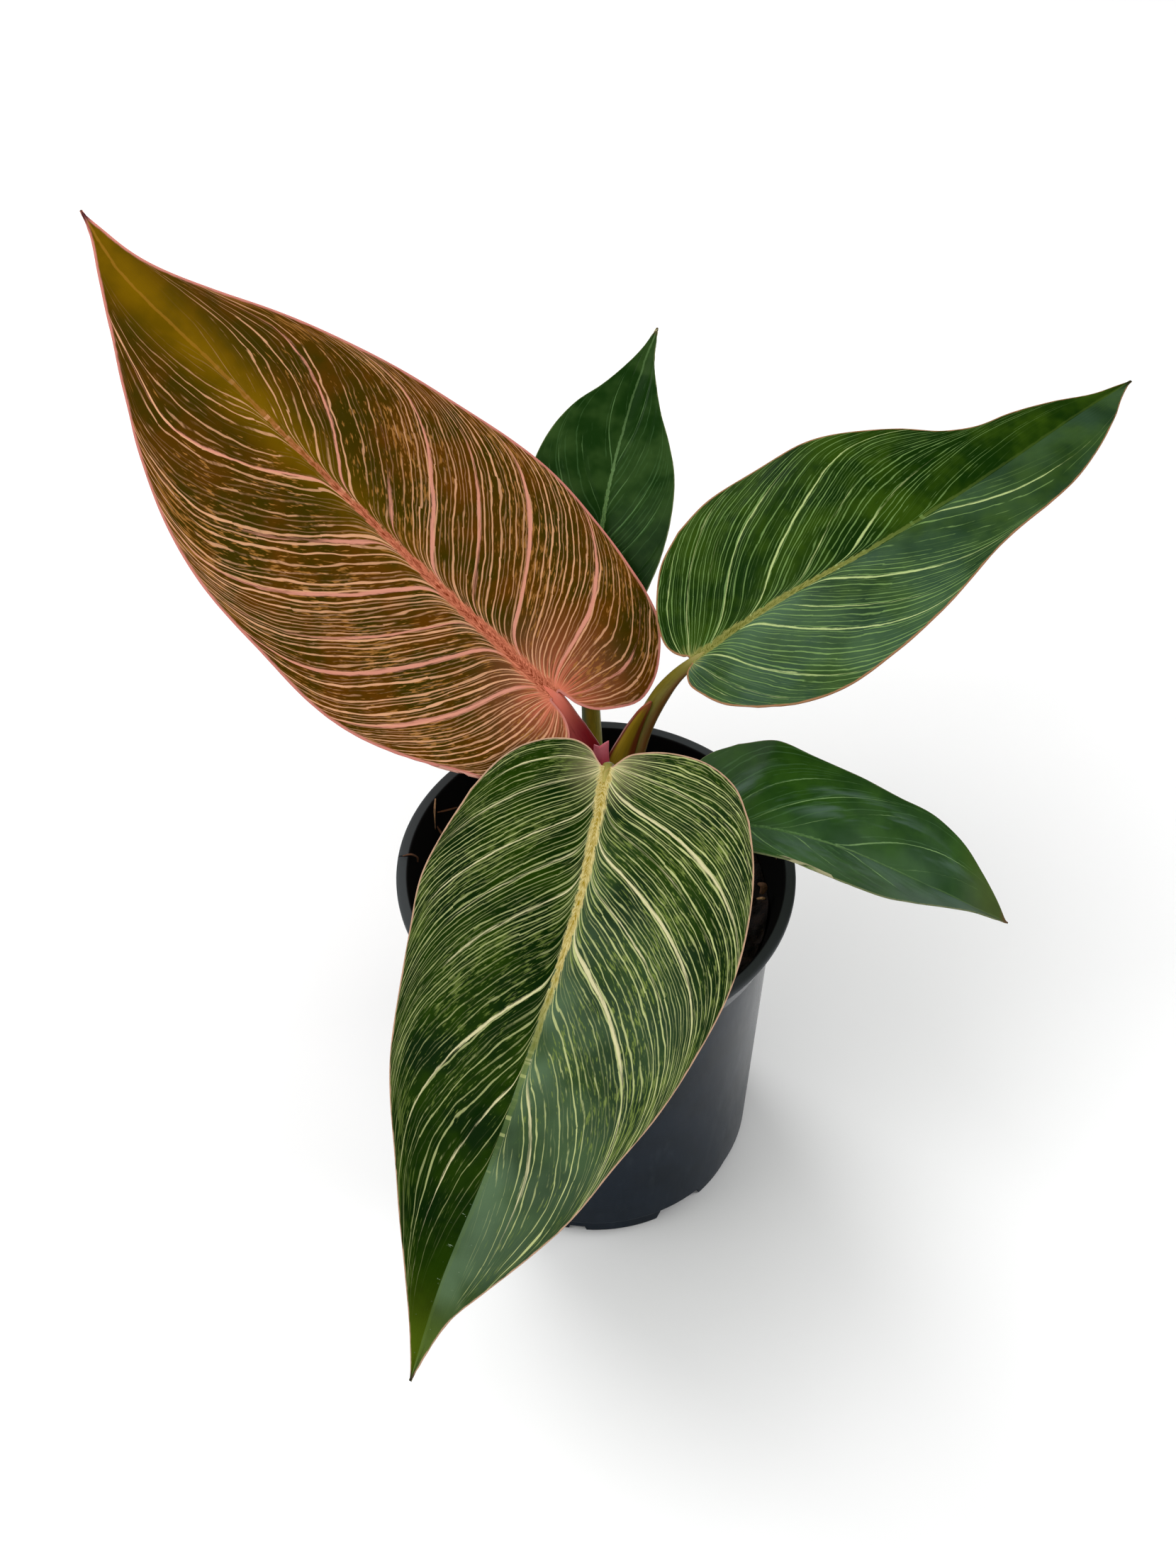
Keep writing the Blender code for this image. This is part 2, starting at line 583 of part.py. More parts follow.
BACK_PETIOLE = PetioleShape(
    "petiole_back", route=((2, 15, 122), (0, 22, 134), (-1, 31, 150), (-1.8, 43, 168)),
    face=(0.0, -0.6, 0.8), width=(3.4, 3.2, 3.0, 2.7, 1.7), depth=(2.4, 2.4, 2.5, 2.2, 1.3),
    cup=(0.5, 0.5, 0.3, 0.2, 0.1))
LOW_PETIOLE = PetioleShape(
    "petiole_low", route=((6, 9, 121), (12, 6, 128), (19, 3, 138), (24, 1, 145)),
    face=(-0.6, 0.3, 0.8), width=(3.4, 3.0, 2.8, 2.5, 1.7), depth=(2.4, 2.3, 2.3, 2.0, 1.3),
    cup=(0.5, 0.4, 0.3, 0.2, 0.1))

PETIOLES = (PINK_PETIOLE, FRONT_PETIOLE, RIGHT_PETIOLE, BACK_PETIOLE, LOW_PETIOLE)

# The rolled tip of the next leaf
BUD_ROUTE = ((5.6, 9.2, 138.3), (4.9, 10.4, 148), (3.8, 12.2, 157), (2.6, 15.2, 168))
BUD_RADIUS = 1.5
BUD_TIP_RADIUS = 0.25
BUD_TAPER = 2.2
BUD_STATIONS = 12


def clear_scene():
    """Remove whatever the open file holds."""
    for item in list(bpy.data.objects):
        bpy.data.objects.remove(item, do_unlink=True)


def main():
    """Build every piece of the plant and its pot."""
    clear_scene()
    make_pot(finish_material("pot_plastic", (0.012, 0.020, 0.030), 0.38))
    make_soil(finish_material("soil", (0.020, 0.013, 0.009), 0.95))
    make_stem(finish_material("stem", (0.10, 0.12, 0.03), 0.50))
    colors = {
        "blade_pink": (0.24, 0.11, 0.035), "blade_front": (0.07, 0.13, 0.035),
        "blade_right": (0.035, 0.10, 0.03), "blade_back": (0.02, 0.065, 0.022),
        "blade_low": (0.02, 0.07, 0.024), "petiole_pink": (0.32, 0.02, 0.035),
        "petiole_front": (0.13, 0.15, 0.04), "petiole_right": (0.14, 0.13, 0.03),
        "petiole_back": (0.10, 0.13, 0.02), "petiole_low": (0.09, 0.13, 0.03)}
    for blade, petiole in zip(BLADES, PETIOLES):
        make_blade(blade, finish_material(blade.name, colors[blade.name], 0.32))
        make_petiole(petiole, blade, finish_material(petiole.name, colors[petiole.name], 0.35))
    make_bud(finish_material("bud", (0.45, 0.05, 0.10), 0.40))


main()
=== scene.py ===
"""Looks of the potted pink birkin philodendron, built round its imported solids.

Sizes are in millimetres, and MM turns them into Blender's metres. +Z is up and -Y is the front. A blade
is laid out on its vein coordinates: the side vein that a point lies on, from 0 at the base to 1 at the
tip, and how far along that vein it is, from 0 at the midrib to 1 at the margin. Colours are screen
colours, with red, green and blue from 0 to 255.
"""
import logging
import math
from contextlib import contextmanager
from dataclasses import dataclass, replace
from enum import Enum
from typing import Callable, Iterator, Sequence, Union

import bpy
import numpy as np
from mathutils import Matrix, Vector, noise


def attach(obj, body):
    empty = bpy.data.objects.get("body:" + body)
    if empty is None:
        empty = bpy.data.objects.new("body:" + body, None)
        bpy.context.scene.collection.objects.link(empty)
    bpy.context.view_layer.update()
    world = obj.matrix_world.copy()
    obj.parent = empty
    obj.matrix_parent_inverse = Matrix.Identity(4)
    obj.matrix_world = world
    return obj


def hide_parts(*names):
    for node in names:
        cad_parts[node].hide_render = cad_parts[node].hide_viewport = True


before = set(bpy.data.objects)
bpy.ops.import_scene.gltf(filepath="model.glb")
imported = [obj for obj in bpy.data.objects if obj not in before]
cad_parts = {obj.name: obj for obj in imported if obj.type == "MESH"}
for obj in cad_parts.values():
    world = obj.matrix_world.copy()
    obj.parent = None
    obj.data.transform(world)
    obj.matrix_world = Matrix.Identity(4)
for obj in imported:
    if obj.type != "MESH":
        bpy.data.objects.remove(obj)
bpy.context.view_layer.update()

MM = 0.001
TOUCHING = 1e-6
BODY = "root"
WHITE = (255, 255, 255)
LOG = logging.getLogger("potted philodendron")

Point = tuple[float, ...]
Points = tuple[Point, ...]
Pair = tuple[float, float]
Color = tuple[int, int, int]
Array = np.ndarray
Object = bpy.types.Object
Material = bpy.types.Material
Socket = bpy.types.NodeSocket
Number = Union["Value", float]


class Side(Enum):
    """The two halves of a blade, seen from above with the tip pointing away."""

    LEFT = -1
    RIGHT = 1


def linear(color: Color) -> tuple[float, ...]:
    """Turn a screen colour into a linear one.

    Args:
        color: The screen colour.

    Returns:
        The linear colour with full alpha.
    """
    shares = (value / 255 for value in color)
    return (*(s / 12.92 if s <= 0.04045 else ((s + 0.055) / 1.055) ** 2.4 for s in shares), 1.0)


def lerp(a: Array | float, b: Array | float, share: Array | float) -> Array | float:
    """Give the point a given share of the way from a to b."""
    return a + (b - a) * share


def unit(vectors: Array) -> Array:
    """Bring vectors, one a row, to a length of one."""
    return vectors / np.linalg.norm(vectors, axis=-1, keepdims=True)


def distances(points: Array) -> Array:
    """Give how far along a line each of its points is."""
    return np.concatenate([[0.0], np.cumsum(np.linalg.norm(np.diff(points, axis=0), axis=1))])


def read_line(place: Array, stations: Array, points: Array) -> Array:
    """Read a line between its points.

    Args:
        place: Where it is read.
        stations: Where its points are, rising.
        points: The points, one a row.

    Returns:
        The point at each place.
    """
    return np.stack([np.interp(place, stations, column) for column in points.T], axis=-1)


def smooth_curve(points: Sequence[Point], count: int = 200) -> Array:
    """Run a smooth curve through points.

    Args:
        points: The points that it passes through.
        count: How many points it gets.

    Returns:
        Evenly spaced points on the curve, one a row.
    """
    knots = np.array(points, float)
    chord = distances(knots)
    slope = np.gradient(knots, chord, axis=0)
    place = np.linspace(0.0, chord[-1], 12 * len(knots) + 1)
    span = np.clip(np.searchsorted(chord, place, side="right") - 1, 0, len(knots) - 2)
    width = (chord[span + 1] - chord[span])[:, None]
    f = (place - chord[span])[:, None] / width
    curve = ((1 + 2 * f) * (1 - f) ** 2 * knots[span] + f * (1 - f) ** 2 * width * slope[span]
             + f * f * (3 - 2 * f) * knots[span + 1] + f * f * (f - 1) * width * slope[span + 1])
    length = distances(curve)
    return read_line(np.linspace(0.0, length[-1], count), length, curve)


def along(values: Sequence, share: Array) -> Array:
    """Read values, or points, spread evenly over 0 to 1.

    Args:
        values: The values, or a point a row.
        share: Where they are read.

    Returns:
        A value, or a point, for each share.
    """
    points = np.array(values, float)
    read = np.interp if points.ndim == 1 else read_line
    return read(share, np.linspace(0.0, 1.0, len(points)), points)


# Making and finishing meshes


def select_only(*items: Object) -> None:
    """Select some objects and nothing else, with the first of them active.

    Args:
        *items: The objects, or none before a new piece is added, so that operators act on it alone.
    """
    bpy.ops.object.select_all(action="DESELECT")
    for item in items:
        item.select_set(True)
    if items:
        bpy.context.view_layer.objects.active = items[0]


def join(parts: Sequence[Object]) -> Object:
    """Join objects to one."""
    select_only(*parts)
    bpy.ops.object.join()
    return bpy.context.object


def read_points(item: Object) -> Array:
    """Read a mesh's vertex positions, one a row."""
    flat = np.empty(len(item.data.vertices) * 3)
    item.data.vertices.foreach_get("co", flat)
    return flat.reshape(-1, 3)


def write_points(item: Object, points: Array) -> None:
    """Move a mesh's vertices to points in millimetres."""
    item.data.vertices.foreach_set("co", (points * MM).ravel())
    item.data.update()


def add_grid(name: str, columns: int, rows: int) -> tuple[Object, Array, Array]:
    """Add a flat grid to be shaped.

    Args:
        name: The new object's name.
        columns: How many faces it has across.
        rows: How many faces it has along.

    Returns:
        The grid, and each vertex's share across and along, from 0 to 1.
    """
    select_only()
    bpy.ops.mesh.primitive_grid_add(x_subdivisions=columns, y_subdivisions=rows, size=1.0)
    item = bpy.context.object
    item.name = name
    item.data.name = name
    place = read_points(item)
    return item, place[:, 0] + 0.5, place[:, 1] + 0.5


@contextmanager
def edit_mode(item: Object) -> Iterator[None]:
    """Hold one object in edit mode with all of its mesh selected."""
    select_only(item)
    bpy.ops.object.mode_set(mode="EDIT")
    bpy.ops.mesh.select_all(action="SELECT")
    yield
    bpy.ops.object.mode_set(mode="OBJECT")


def apply_modifiers(item: Object) -> None:
    """Apply every modifier of an object, from the first to the last."""
    select_only(item)
    for modifier in list(item.modifiers):
        bpy.ops.object.modifier_apply(modifier=modifier.name)


def add_values(item: Object, name: str, values: Array) -> None:
    """Store a vector on every vertex for the materials to read."""
    layer = item.data.attributes.new(name, "FLOAT_VECTOR", "POINT")
    layer.data.foreach_set("vector", values.ravel())


def dress_piece(item: Object, angle: float, *skins: Material) -> None:
    """Give a piece its materials and shade it smooth.

    Args:
        item: The piece.
        angle: The angle in degrees past which an edge stays sharp.
        *skins: The materials, or none where the piece has them.
    """
    if skins:
        item.data.materials.clear()
    for skin in skins:
        item.data.materials.append(skin)
    select_only(item)
    bpy.ops.object.shade_smooth_by_angle(angle=math.radians(angle))


def place_piece(item: Object, node: str) -> None:
    """Let a finished piece stand for a node of the frame and report it.

    Args:
        item: The finished piece.
        node: The node that it replaces.
    """
    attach(item, BODY)
    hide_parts(node)
    LOG.info("%s: %d faces, stands for %s", item.name, len(item.data.polygons), node)


# Material nodes

# Kinds of noise, by its detail and its roughness
SMOOTH = (2.0, 0.5)
GRAINY = (2.0, 0.6)
SOFT = (3.0, 0.55)
ROUGH = (3.0, 0.6)
CRUMBLY = (4.0, 0.6)
STREAKY = (3.0, 0.65)
DUSTY = (4.0, 0.65)
SCRATCHY = (4.0, 0.75)
SANDY = (2.0, 0.55)


class Value:
    """A number or colour in a node tree. Plain arithmetic on it adds Math nodes."""

    def __init__(self, graph: "Graph", socket: Socket) -> None:
        """Hold an output socket of a graph."""
        self.graph = graph
        self.socket = socket

    def math(self, operation: str, *others: Number) -> "Value":
        """Add a Math node that has this value first."""
        return self.graph.math(operation, self, *others)

    def __add__(self, other: Number) -> "Value":
        """Add another value."""
        return self.math("ADD", other)

    def __sub__(self, other: Number) -> "Value":
        """Take another value away."""
        return self.math("SUBTRACT", other)

    def __rsub__(self, other: float) -> "Value":
        """Take this value away from a number."""
        return self.graph.math("SUBTRACT", other, self)

    def __mul__(self, other: Number) -> "Value":
        """Multiply with another value."""
        return self.math("MULTIPLY", other)

    def __truediv__(self, other: Number) -> "Value":
        """Divide by another value."""
        return self.math("DIVIDE", other)

    def __abs__(self) -> "Value":
        """Drop the sign."""
        return self.math("ABSOLUTE")

    def times(self, factor: Number, shift: Number) -> "Value":
        """Multiply with a factor and add a shift in one node."""
        return self.math("MULTIPLY_ADD", factor, shift)

    def most(self, other: Number) -> "Value":
        """Give the larger of two values."""
        return self.math("MAXIMUM", other)

    def above(self, limit: float) -> "Value":
        """Give 1 above a limit and 0 elsewhere."""
        return self.math("GREATER_THAN", limit)

    def ease(self, start: Number, end: Number, low: Number = 0.0, high: Number = 1.0) -> "Value":
        """Go smoothly from low to high as this value goes from start to end."""
        node = self.graph.add("MapRange", interpolation_type="SMOOTHSTEP")
        return self.graph.fill(node, (self, start, end, low, high))

    def choose(self, pair: Sequence[Number]) -> "Value":
        """Give the first of a pair where this value is 0 and the second where it is 1."""
        node = self.graph.add("Mix", data_type="FLOAT", clamp_factor=True)
        return self.graph.fill(node, (self, *pair), (0, 2, 3))

    def coat(self, share: Number, color: Union["Value", Color]) -> "Value":
        """Lay a share, from 0 to 1, of another colour over this colour."""
        node = self.graph.add("Mix", data_type="RGBA", clamp_factor=True)
        return self.graph.fill(node, (share, self, color), (0, 6, 7), 2)

    def split(self) -> tuple["Value", ...]:
        """Split a vector in its three values."""
        node = self.graph.add("SeparateXYZ")
        self.graph.feed(node.inputs[0], self)
        return tuple(Value(self.graph, socket) for socket in node.outputs)


class Graph:
    """Adds nodes to a material or a group and links them by plain calls."""

    def __init__(self, tree: bpy.types.NodeTree) -> None:
        """Start on a node tree."""
        self.tree = tree

    def add(self, kind: str, **settings) -> bpy.types.Node:
        """Add a node.

        Args:
            kind: Blender's name for the node, without its ShaderNode prefix.
            **settings: Settings of the node.

        Returns:
            The new node.
        """
        node = self.tree.nodes.new("ShaderNode" + kind)
        for key, value in settings.items():
            setattr(node, key, value)
        return node

    def feed(self, socket: Socket, value) -> None:
        """Link a socket to a value in the tree, or set its plain value or colour."""
        if isinstance(value, Value):
            self.tree.links.new(value.socket, socket)
        else:
            socket.default_value = linear(value) if socket.type == "RGBA" else value

    def fill(self, node: bpy.types.Node, values: Sequence, places: Sequence[int] = range(5),
             result: int = 0) -> Value:
        """Feed a node's inputs.

        Args:
            node: The node.
            values: What its inputs get.
            places: Each one's place among the inputs.
            result: The place of the output that is wanted.

        Returns:
            That output.
        """
        for place, value in zip(places, values):
            self.feed(node.inputs[place], value)
        return Value(self, node.outputs[result])

    def math(self, operation: str, first: Number, second: Number = 0.0, third: Number = 0.0) -> Value:
        """Add a Math node and give its result."""
        return self.fill(self.add("Math", operation=operation), (first, second, third))

    def mix(self, share: Number, first: Color, second: Color) -> Value:
        """Mix two plain colours by a share from 0 to 1."""
        node = self.add("Mix", data_type="RGBA", clamp_factor=True)
        return self.fill(node, (share, first, second), (0, 6, 7), 2)

    def length(self, x: Value, y: Value) -> Value:
        """Give how far a place is from the middle."""
        return (x * x + y * y).math("SQRT")

    def clouds(self, place: Value | tuple[Number, ...], kind: Pair = SMOOTH, scale: Number = 1.0) -> Value:
        """Add smooth noise.

        Args:
            place: Where it is read, as a vector or as up to three values.
            kind: Its detail and its roughness.
            scale: How many clouds go on a unit.

        Returns:
            The noise, from 0 to 1.
        """
        if isinstance(place, tuple):
            place = self.fill(self.add("CombineXYZ"), (*place, 0.0, 0.0)[:3])
        node = self.add("TexNoise")
        for key, value in zip(("Vector", "Scale", "Detail", "Roughness"), (place, scale, *kind)):
            self.feed(node.inputs[key], value)
        return Value(self, node.outputs[0])

    def chance(self, seed: Value) -> Value:
        """Give a random value from 0 to 1 for each seed."""
        node = self.add("TexWhiteNoise", noise_dimensions="1D")
        self.feed(node.inputs["W"], seed)
        return Value(self, node.outputs["Value"])

    def ramp(self, value: Value, stops: Sequence[Pair]) -> Value:
        """Read grey stops, sorted by place, at a value."""
        node = self.add("ValToRGB")
        elements = node.color_ramp.elements
        while len(elements) < len(stops):
            elements.new(1.0)
        for element, (place, level) in zip(elements, stops):
            element.position = place
            element.color = (level, level, level, 1.0)
        return self.fill(node, (value,))

    def group(self, tree: bpy.types.NodeTree, **values) -> tuple[Value, ...]:
        """Place a node group.

        Args:
            tree: The group.
            **values: What each input gets, with _ for a space in its name.

        Returns:
            What the group puts out.
        """
        node = self.add("Group", node_tree=tree)
        for key, value in values.items():
            self.feed(node.inputs[key.replace("_", " ")], value)
        return tuple(Value(self, socket) for socket in node.outputs)


class Group(Graph):
    """A graph on a new node group, whose inputs and outputs are all numbers but for Place."""

    def __init__(self, name: str, inputs: Sequence[str], outputs: Sequence[str]) -> None:
        """Start a group with inputs and outputs of these names."""
        super().__init__(bpy.data.node_groups.new(name, "ShaderNodeTree"))
        for way, names in (("INPUT", inputs), ("OUTPUT", outputs)):
            for key in names:
                kind = "NodeSocketVector" if key == "Place" else "NodeSocketFloat"
                self.tree.interface.new_socket(key, in_out=way, socket_type=kind)
        start = self.tree.nodes.new("NodeGroupInput")
        self.given = {key: Value(self, start.outputs[key]) for key in inputs}
        self.out = self.tree.nodes.new("NodeGroupOutput").inputs


class Skin(Graph):
    """A graph on a new material."""

    def __init__(self, name: str) -> None:
        """Start the material."""
        self.material = bpy.data.materials.new(name)
        self.material.use_nodes = True
        super().__init__(self.material.node_tree)
        self.shader = self.tree.nodes["Principled BSDF"].inputs
        self.place = Value(self, self.add("TexCoord").outputs["Object"])

    def read(self, name: str) -> tuple[Value, ...]:
        """Read the three numbers that a piece's vertices hold under a name."""
        return Value(self, self.add("Attribute", attribute_name=name).outputs["Vector"]).split()

    def mottle(self, patch_size: float, grain_size: float) -> tuple[Value, Value]:
        """Mottle the piece.

        Args:
            patch_size: How large the patches are, in mm.
            grain_size: How large the grain is, in mm.

        Returns:
            The patches and the grain, each from 0 to 1.
        """
        return self.group(MOTTLE, Place=self.place, Patch_Size=patch_size, Grain_Size=grain_size)

    def finish(self, color: Value | Color, roughness: Number, gloss: float, height: Value | None = None,
               depth: float = 0.0, strength: float = 0.0) -> Material:
        """Feed the material's Principled BSDF.

        Args:
            color: The base colour.
            roughness: The roughness.
            gloss: The specular level.
            height: The height of its bumps, from 0 to 1.
            depth: How deep they are, in mm.
            strength: How strongly they show.

        Returns:
            The finished material.
        """
        self.feed(self.shader["Base Color"], color)
        self.feed(self.shader["Roughness"], roughness)
        self.shader["Specular IOR Level"].default_value = gloss
        if height:
            bump = self.add("Bump")
            for key, value in (("Height", height), ("Distance", depth * MM), ("Strength", strength)):
                self.feed(bump.inputs[key], value)
            self.feed(self.shader["Normal"], Value(self, bump.outputs[0]))
        return self.material


def make_pinstripes() -> bpy.types.NodeTree:
    """Build the group that draws a blade's pinstripes: lines, hairlines and specks along its veins.

    Returns:
        The group. Across is the signed share from midrib to margin, Vein the side vein's place, Count
        how many lines a half has and Reach how many line spacings long its side veins are.
    """
    group = Group("pinstripes", ("Across", "Vein", "Count", "Reach", "Width", "Wander", "Gaps", "Cover"),
                  ("Lines", "Hairs", "Specks"))
    given = group.given
    share = abs(given["Across"])
    side = given["Across"].above(0.0)
    steps = given["Vein"] * given["Count"]
    reach = share * given["Reach"]
    drift = group.clouds((share * 3.2, steps * 0.3, side * 7.0), SOFT)
    place = steps + (drift - 0.5) * given["Wander"]

    def lines(position: Value, shift: float, width: Value, gaps: Value) -> Value:
        """Draw one line in each whole step of a position, broken in dashes of their own.

        Args:
            position: Where a point lies, in line spacings.
            shift: What its random draws start from.
            width: The lines' half width, in line spacings.
            gaps: How much of them is left out.

        Returns:
            How strongly a line shows.
        """
        seed = side.times(61.0, position.math("FLOOR") + shift)
        luck = group.chance(seed)
        dash = luck.times(5.0, reach * 0.12).math("FLOOR")
        dash_luck = group.chance(seed.times(3.17, dash * 17.3))
        slip = (dash_luck - 0.5) * 0.16
        off = abs(position.math("FRACT") - (slip + 0.5))
        swell = group.clouds((reach * 0.4, seed * 3.7))
        thick = width * luck.times(0.75, 0.45) * swell.times(1.3, 0.35)
        line = off.ease(thick + 0.055, thick - 0.02)
        gate = group.clouds((reach * 0.22, seed * 9.1, 5.0), CRUMBLY).times(0.75, luck * 0.25)
        gate = gate.ease(gaps - 0.04, gaps + 0.04)
        return line * gate * luck.times(0.45, dash_luck.times(0.25, 0.3))

    group.feed(group.out["Lines"], lines(place, 0.0, given["Width"], given["Gaps"]))
    group.feed(group.out["Hairs"], lines(place.times(2.0, 0.5), 500.0, given["Width"] * 1.1,
                                         given["Gaps"] + 0.08))
    grain = group.clouds((reach * 0.8, steps * 3.4, side * 11.0), GRAINY)
    cover = group.clouds((reach * 0.16, steps * 0.13, side * 3.0))
    least = (1.0 - given["Cover"]) - (cover - 0.5) * 0.5
    group.feed(group.out["Specks"], grain.ease(least, least + 0.11))
    return group.tree


def make_mottle() -> bpy.types.NodeTree:
    """Build the group that mottles a piece's skin and gives it fine relief.

    Returns:
        The group. Place is a position in metres, the sizes are in mm, and it puts out broad patches
        and a fine grain.
    """
    group = Group("mottle", ("Place", "Patch Size", "Grain Size"), ("Patches", "Grain"))
    place = group.given["Place"]
    patch_scale, grain_scale = (group.math("DIVIDE", 1.0, group.given[key] * MM)
                                for key in ("Patch Size", "Grain Size"))
    group.feed(group.out["Patches"], group.clouds(place, ROUGH, patch_scale).ease(0.35, 0.65))
    group.feed(group.out["Grain"], group.clouds(place, SANDY, grain_scale))
    return group.tree


PINSTRIPES = make_pinstripes()
MOTTLE = make_mottle()


# The blades' finishes

SCUFF_COLOR = (150, 166, 140)


class BladeSkin(Skin):
    """A blade's material, with the values that its masks are drawn from.

    across, vein, x, y and margin are the blade's own. share is across without its sign, on_right is 1 on
    the right half, off_rib and from_hub are how far the midrib and the petiole are, in mm, and patches
    and grain mottle the skin.
    """

    def __init__(self, name: str) -> None:
        """Start the material and read the blade's values."""
        super().__init__(name)
        self.across, self.vein, _ = self.read("veins")
        self.x, self.y, self.margin = self.read("sheet")
        self.share = abs(self.across)
        self.on_right = self.across.above(0.0)
        self.patches, self.grain = self.mottle(16.0, 0.7)
        sway = self.clouds((self.y * 0.10, 3.0), ROUGH)
        self.off_rib = abs((sway - 0.5).times(1.3, self.x))
        self.from_hub = self.length(self.x, self.y)


@dataclass(frozen=True)
class BoldVein:
    """One broad pale side vein: its place from base to tip, its half width there and its strength."""

    place: float
    spread: float
    strength: float


def bold_veins(*rows: tuple[float, float, float]) -> tuple[BoldVein, ...]:
    """Turn rows of a place, a half width and a strength into bold veins."""
    return tuple(BoldVein(*row) for row in rows)


@dataclass(frozen=True)
class BladeColors:
    """The colours of one face of a blade."""

    deep: Color
    ground: Color
    glow: Color
    line: Color
    speck: Color
    bold: Color
    rib: Color
    rib_streak: Color
    margin: Color
    tip: Color
    hub: Color
    thin_rib: Color
    # Painted sheen: a lighter green laid on where a half catches the light, standing in for its reflection.
    painted_sheen: Color = (72, 94, 64)
    # Painted sheen patches: pale grey-blue patches that stand in for light reflected off the glossy leaf.
    painted_sheen_patches: Color = (84, 106, 94)


@dataclass(frozen=True)
class BladeFinish:
    """How one face of a blade is coloured.

    Sizes are in mm and the rest are shares. A pair is for the base and the tip, but for the left and the
    right half in half_strength, half_width, painted_sheen and painted_sheen_patches.

    Attributes:
        line_count: How many pinstripes a half has; line_width is their half width in line spacings,
            line_wander how far they stray and reach how many spacings long they are.
        gaps: How much of the pinstripes is broken off, and tip_gaps how much more towards the tip.
        tip_patches: How strongly the ground's patches show towards the tip.
        cover: How much of the blade the specks cover.
        lines, hairs, specks: How strongly each kind shows, and plain_tip where all of them end.
        half_strength, half_width: How strong and wide the pinstripes of each half are.
        rib_width: The half width of the midrib's colour, and core the share that its streaks fill.
        thin_from: Where the midrib takes its far colour, and rib_end how strongly it shows at the tip.
        hub_reach: How far the pale fan over the petiole reaches, and flush how strongly its colour
            spreads into the blade.
        glow_reach: How far from the midrib the glow shows.
        painted_sheen, painted_sheen_patches: How strongly the painted sheen on each half and the painted
        grey sheen patches show, and painted_sheen_course how strong the painted sheen is along the blade.
        bold_width: How much wider the bold veins are drawn.
        tip_start: How far up the midrib the coloured tip begins, and tip_flush how strongly the glow
            shows before it.
        scuffs: How strongly pale scuffs show near the tip.
        margin_width: How wide the coloured margin is.
        roughness, gloss, relief: The surface's roughness, specular level and bump strength.
    """

    name: str
    colors: BladeColors
    left_veins: tuple[BoldVein, ...]
    right_veins: tuple[BoldVein, ...]
    line_count: float = 75.0
    line_width: float = 0.10
    line_wander: float = 1.8
    gaps: float = 0.40
    tip_gaps: float = 0.10
    tip_patches: float = 1.0
    cover: float = 0.42
    reach: float = 24.0
    lines: float = 0.9
    hairs: float = 0.35
    specks: float = 0.5
    plain_tip: float = 0.80
    rib_width: Pair = (2.4, 0.35)
    core: float = 1.0
    glow_reach: float = 0.0
    hub_reach: float = 9.0
    flush: float = 0.0
    half_strength: Pair = (1.0, 1.0)
    half_width: Pair = (1.0, 1.0)
    # Painted sheen on each half, and on the next line its strength from base to tip
    painted_sheen: Pair = (0.0, 0.0)
    painted_sheen_course: Pair = (1.0, 0.4)
    thin_from: float = 0.5
    rib_end: float = 0.4
    bold_width: float = 1.0
    tip_start: float = 1000.0
    tip_flush: float = 0.0
    scuffs: float = 0.0
    # Painted grey-blue sheen patches on each half
    painted_sheen_patches: Pair = (0.0, 0.0)
    margin_width: Pair = (1.0, 0.5)
    roughness: float = 0.42
    gloss: float = 0.04
    relief: float = 0.35

    def draw_stripes(self, skin: BladeSkin) -> tuple[Value, Value, Value]:
        """Draw the pinstripes, and give how strongly the lines, the hairlines and the specks show."""
        share, vein = skin.share, skin.vein
        width = skin.off_rib.ease(6.0, 1.5, self.line_width, self.line_width * 1.7)
        width = width * skin.on_right.choose(self.half_width) * vein.ease(0.45, 0.85, 1.0, 0.6)
        gaps = vein.ease(0.45, 0.80, self.gaps, self.gaps + self.tip_gaps) + share.ease(0.55, 1.0, 0.0, 0.06)
        lines, hairs, specks = skin.group(
            PINSTRIPES, Across=skin.across, Vein=vein, Count=self.line_count, Reach=self.reach, Width=width,
            Wander=self.line_wander, Gaps=gaps, Cover=vein.ease(0.5, 0.8, self.cover, self.cover - 0.1))
        fade = share.times(0.10, vein).ease(self.plain_tip + 0.06, self.plain_tip - 0.06)
        fade = fade * skin.on_right.choose(self.half_strength)
        hairs = hairs * fade * vein.ease(0.45, 0.72, self.hairs, 0.15 * self.hairs)
        return lines * fade * self.lines, hairs, specks * fade * self.specks

    def draw_bold(self, skin: BladeSkin) -> Value:
        """Draw the bold side veins of both halves, with ragged sides."""
        share, vein = skin.share, skin.vein
        wobble = (skin.clouds((share * 9.0, vein * 30.0), ROUGH) - 0.5) * 0.009
        place = vein + wobble
        masks = []
        for veins in (self.left_veins, self.right_veins):
            stops = [(0.0, 0.0)]
            for bold in veins:
                reach = self.bold_width * bold.spread
                stops += [(bold.place - reach, 0.0), (bold.place, bold.strength), (bold.place + reach, 0.0)]
            masks.append(skin.ramp(place, stops))
        mask = skin.on_right.choose(masks)
        ragged = skin.clouds((share * 5.0, vein * 330.0), ROUGH).times(1.1, -0.55)
        ragged = ragged + skin.clouds((share * 2.6, vein * 14.0)).times(0.6, -0.3)
        ragged = ragged + share.ease(0.4, 1.0, 0.05, -0.25)
        return (mask + ragged).ease(0.30, 0.70) * mask.ease(0.0, 0.25, 0.0, 0.9)

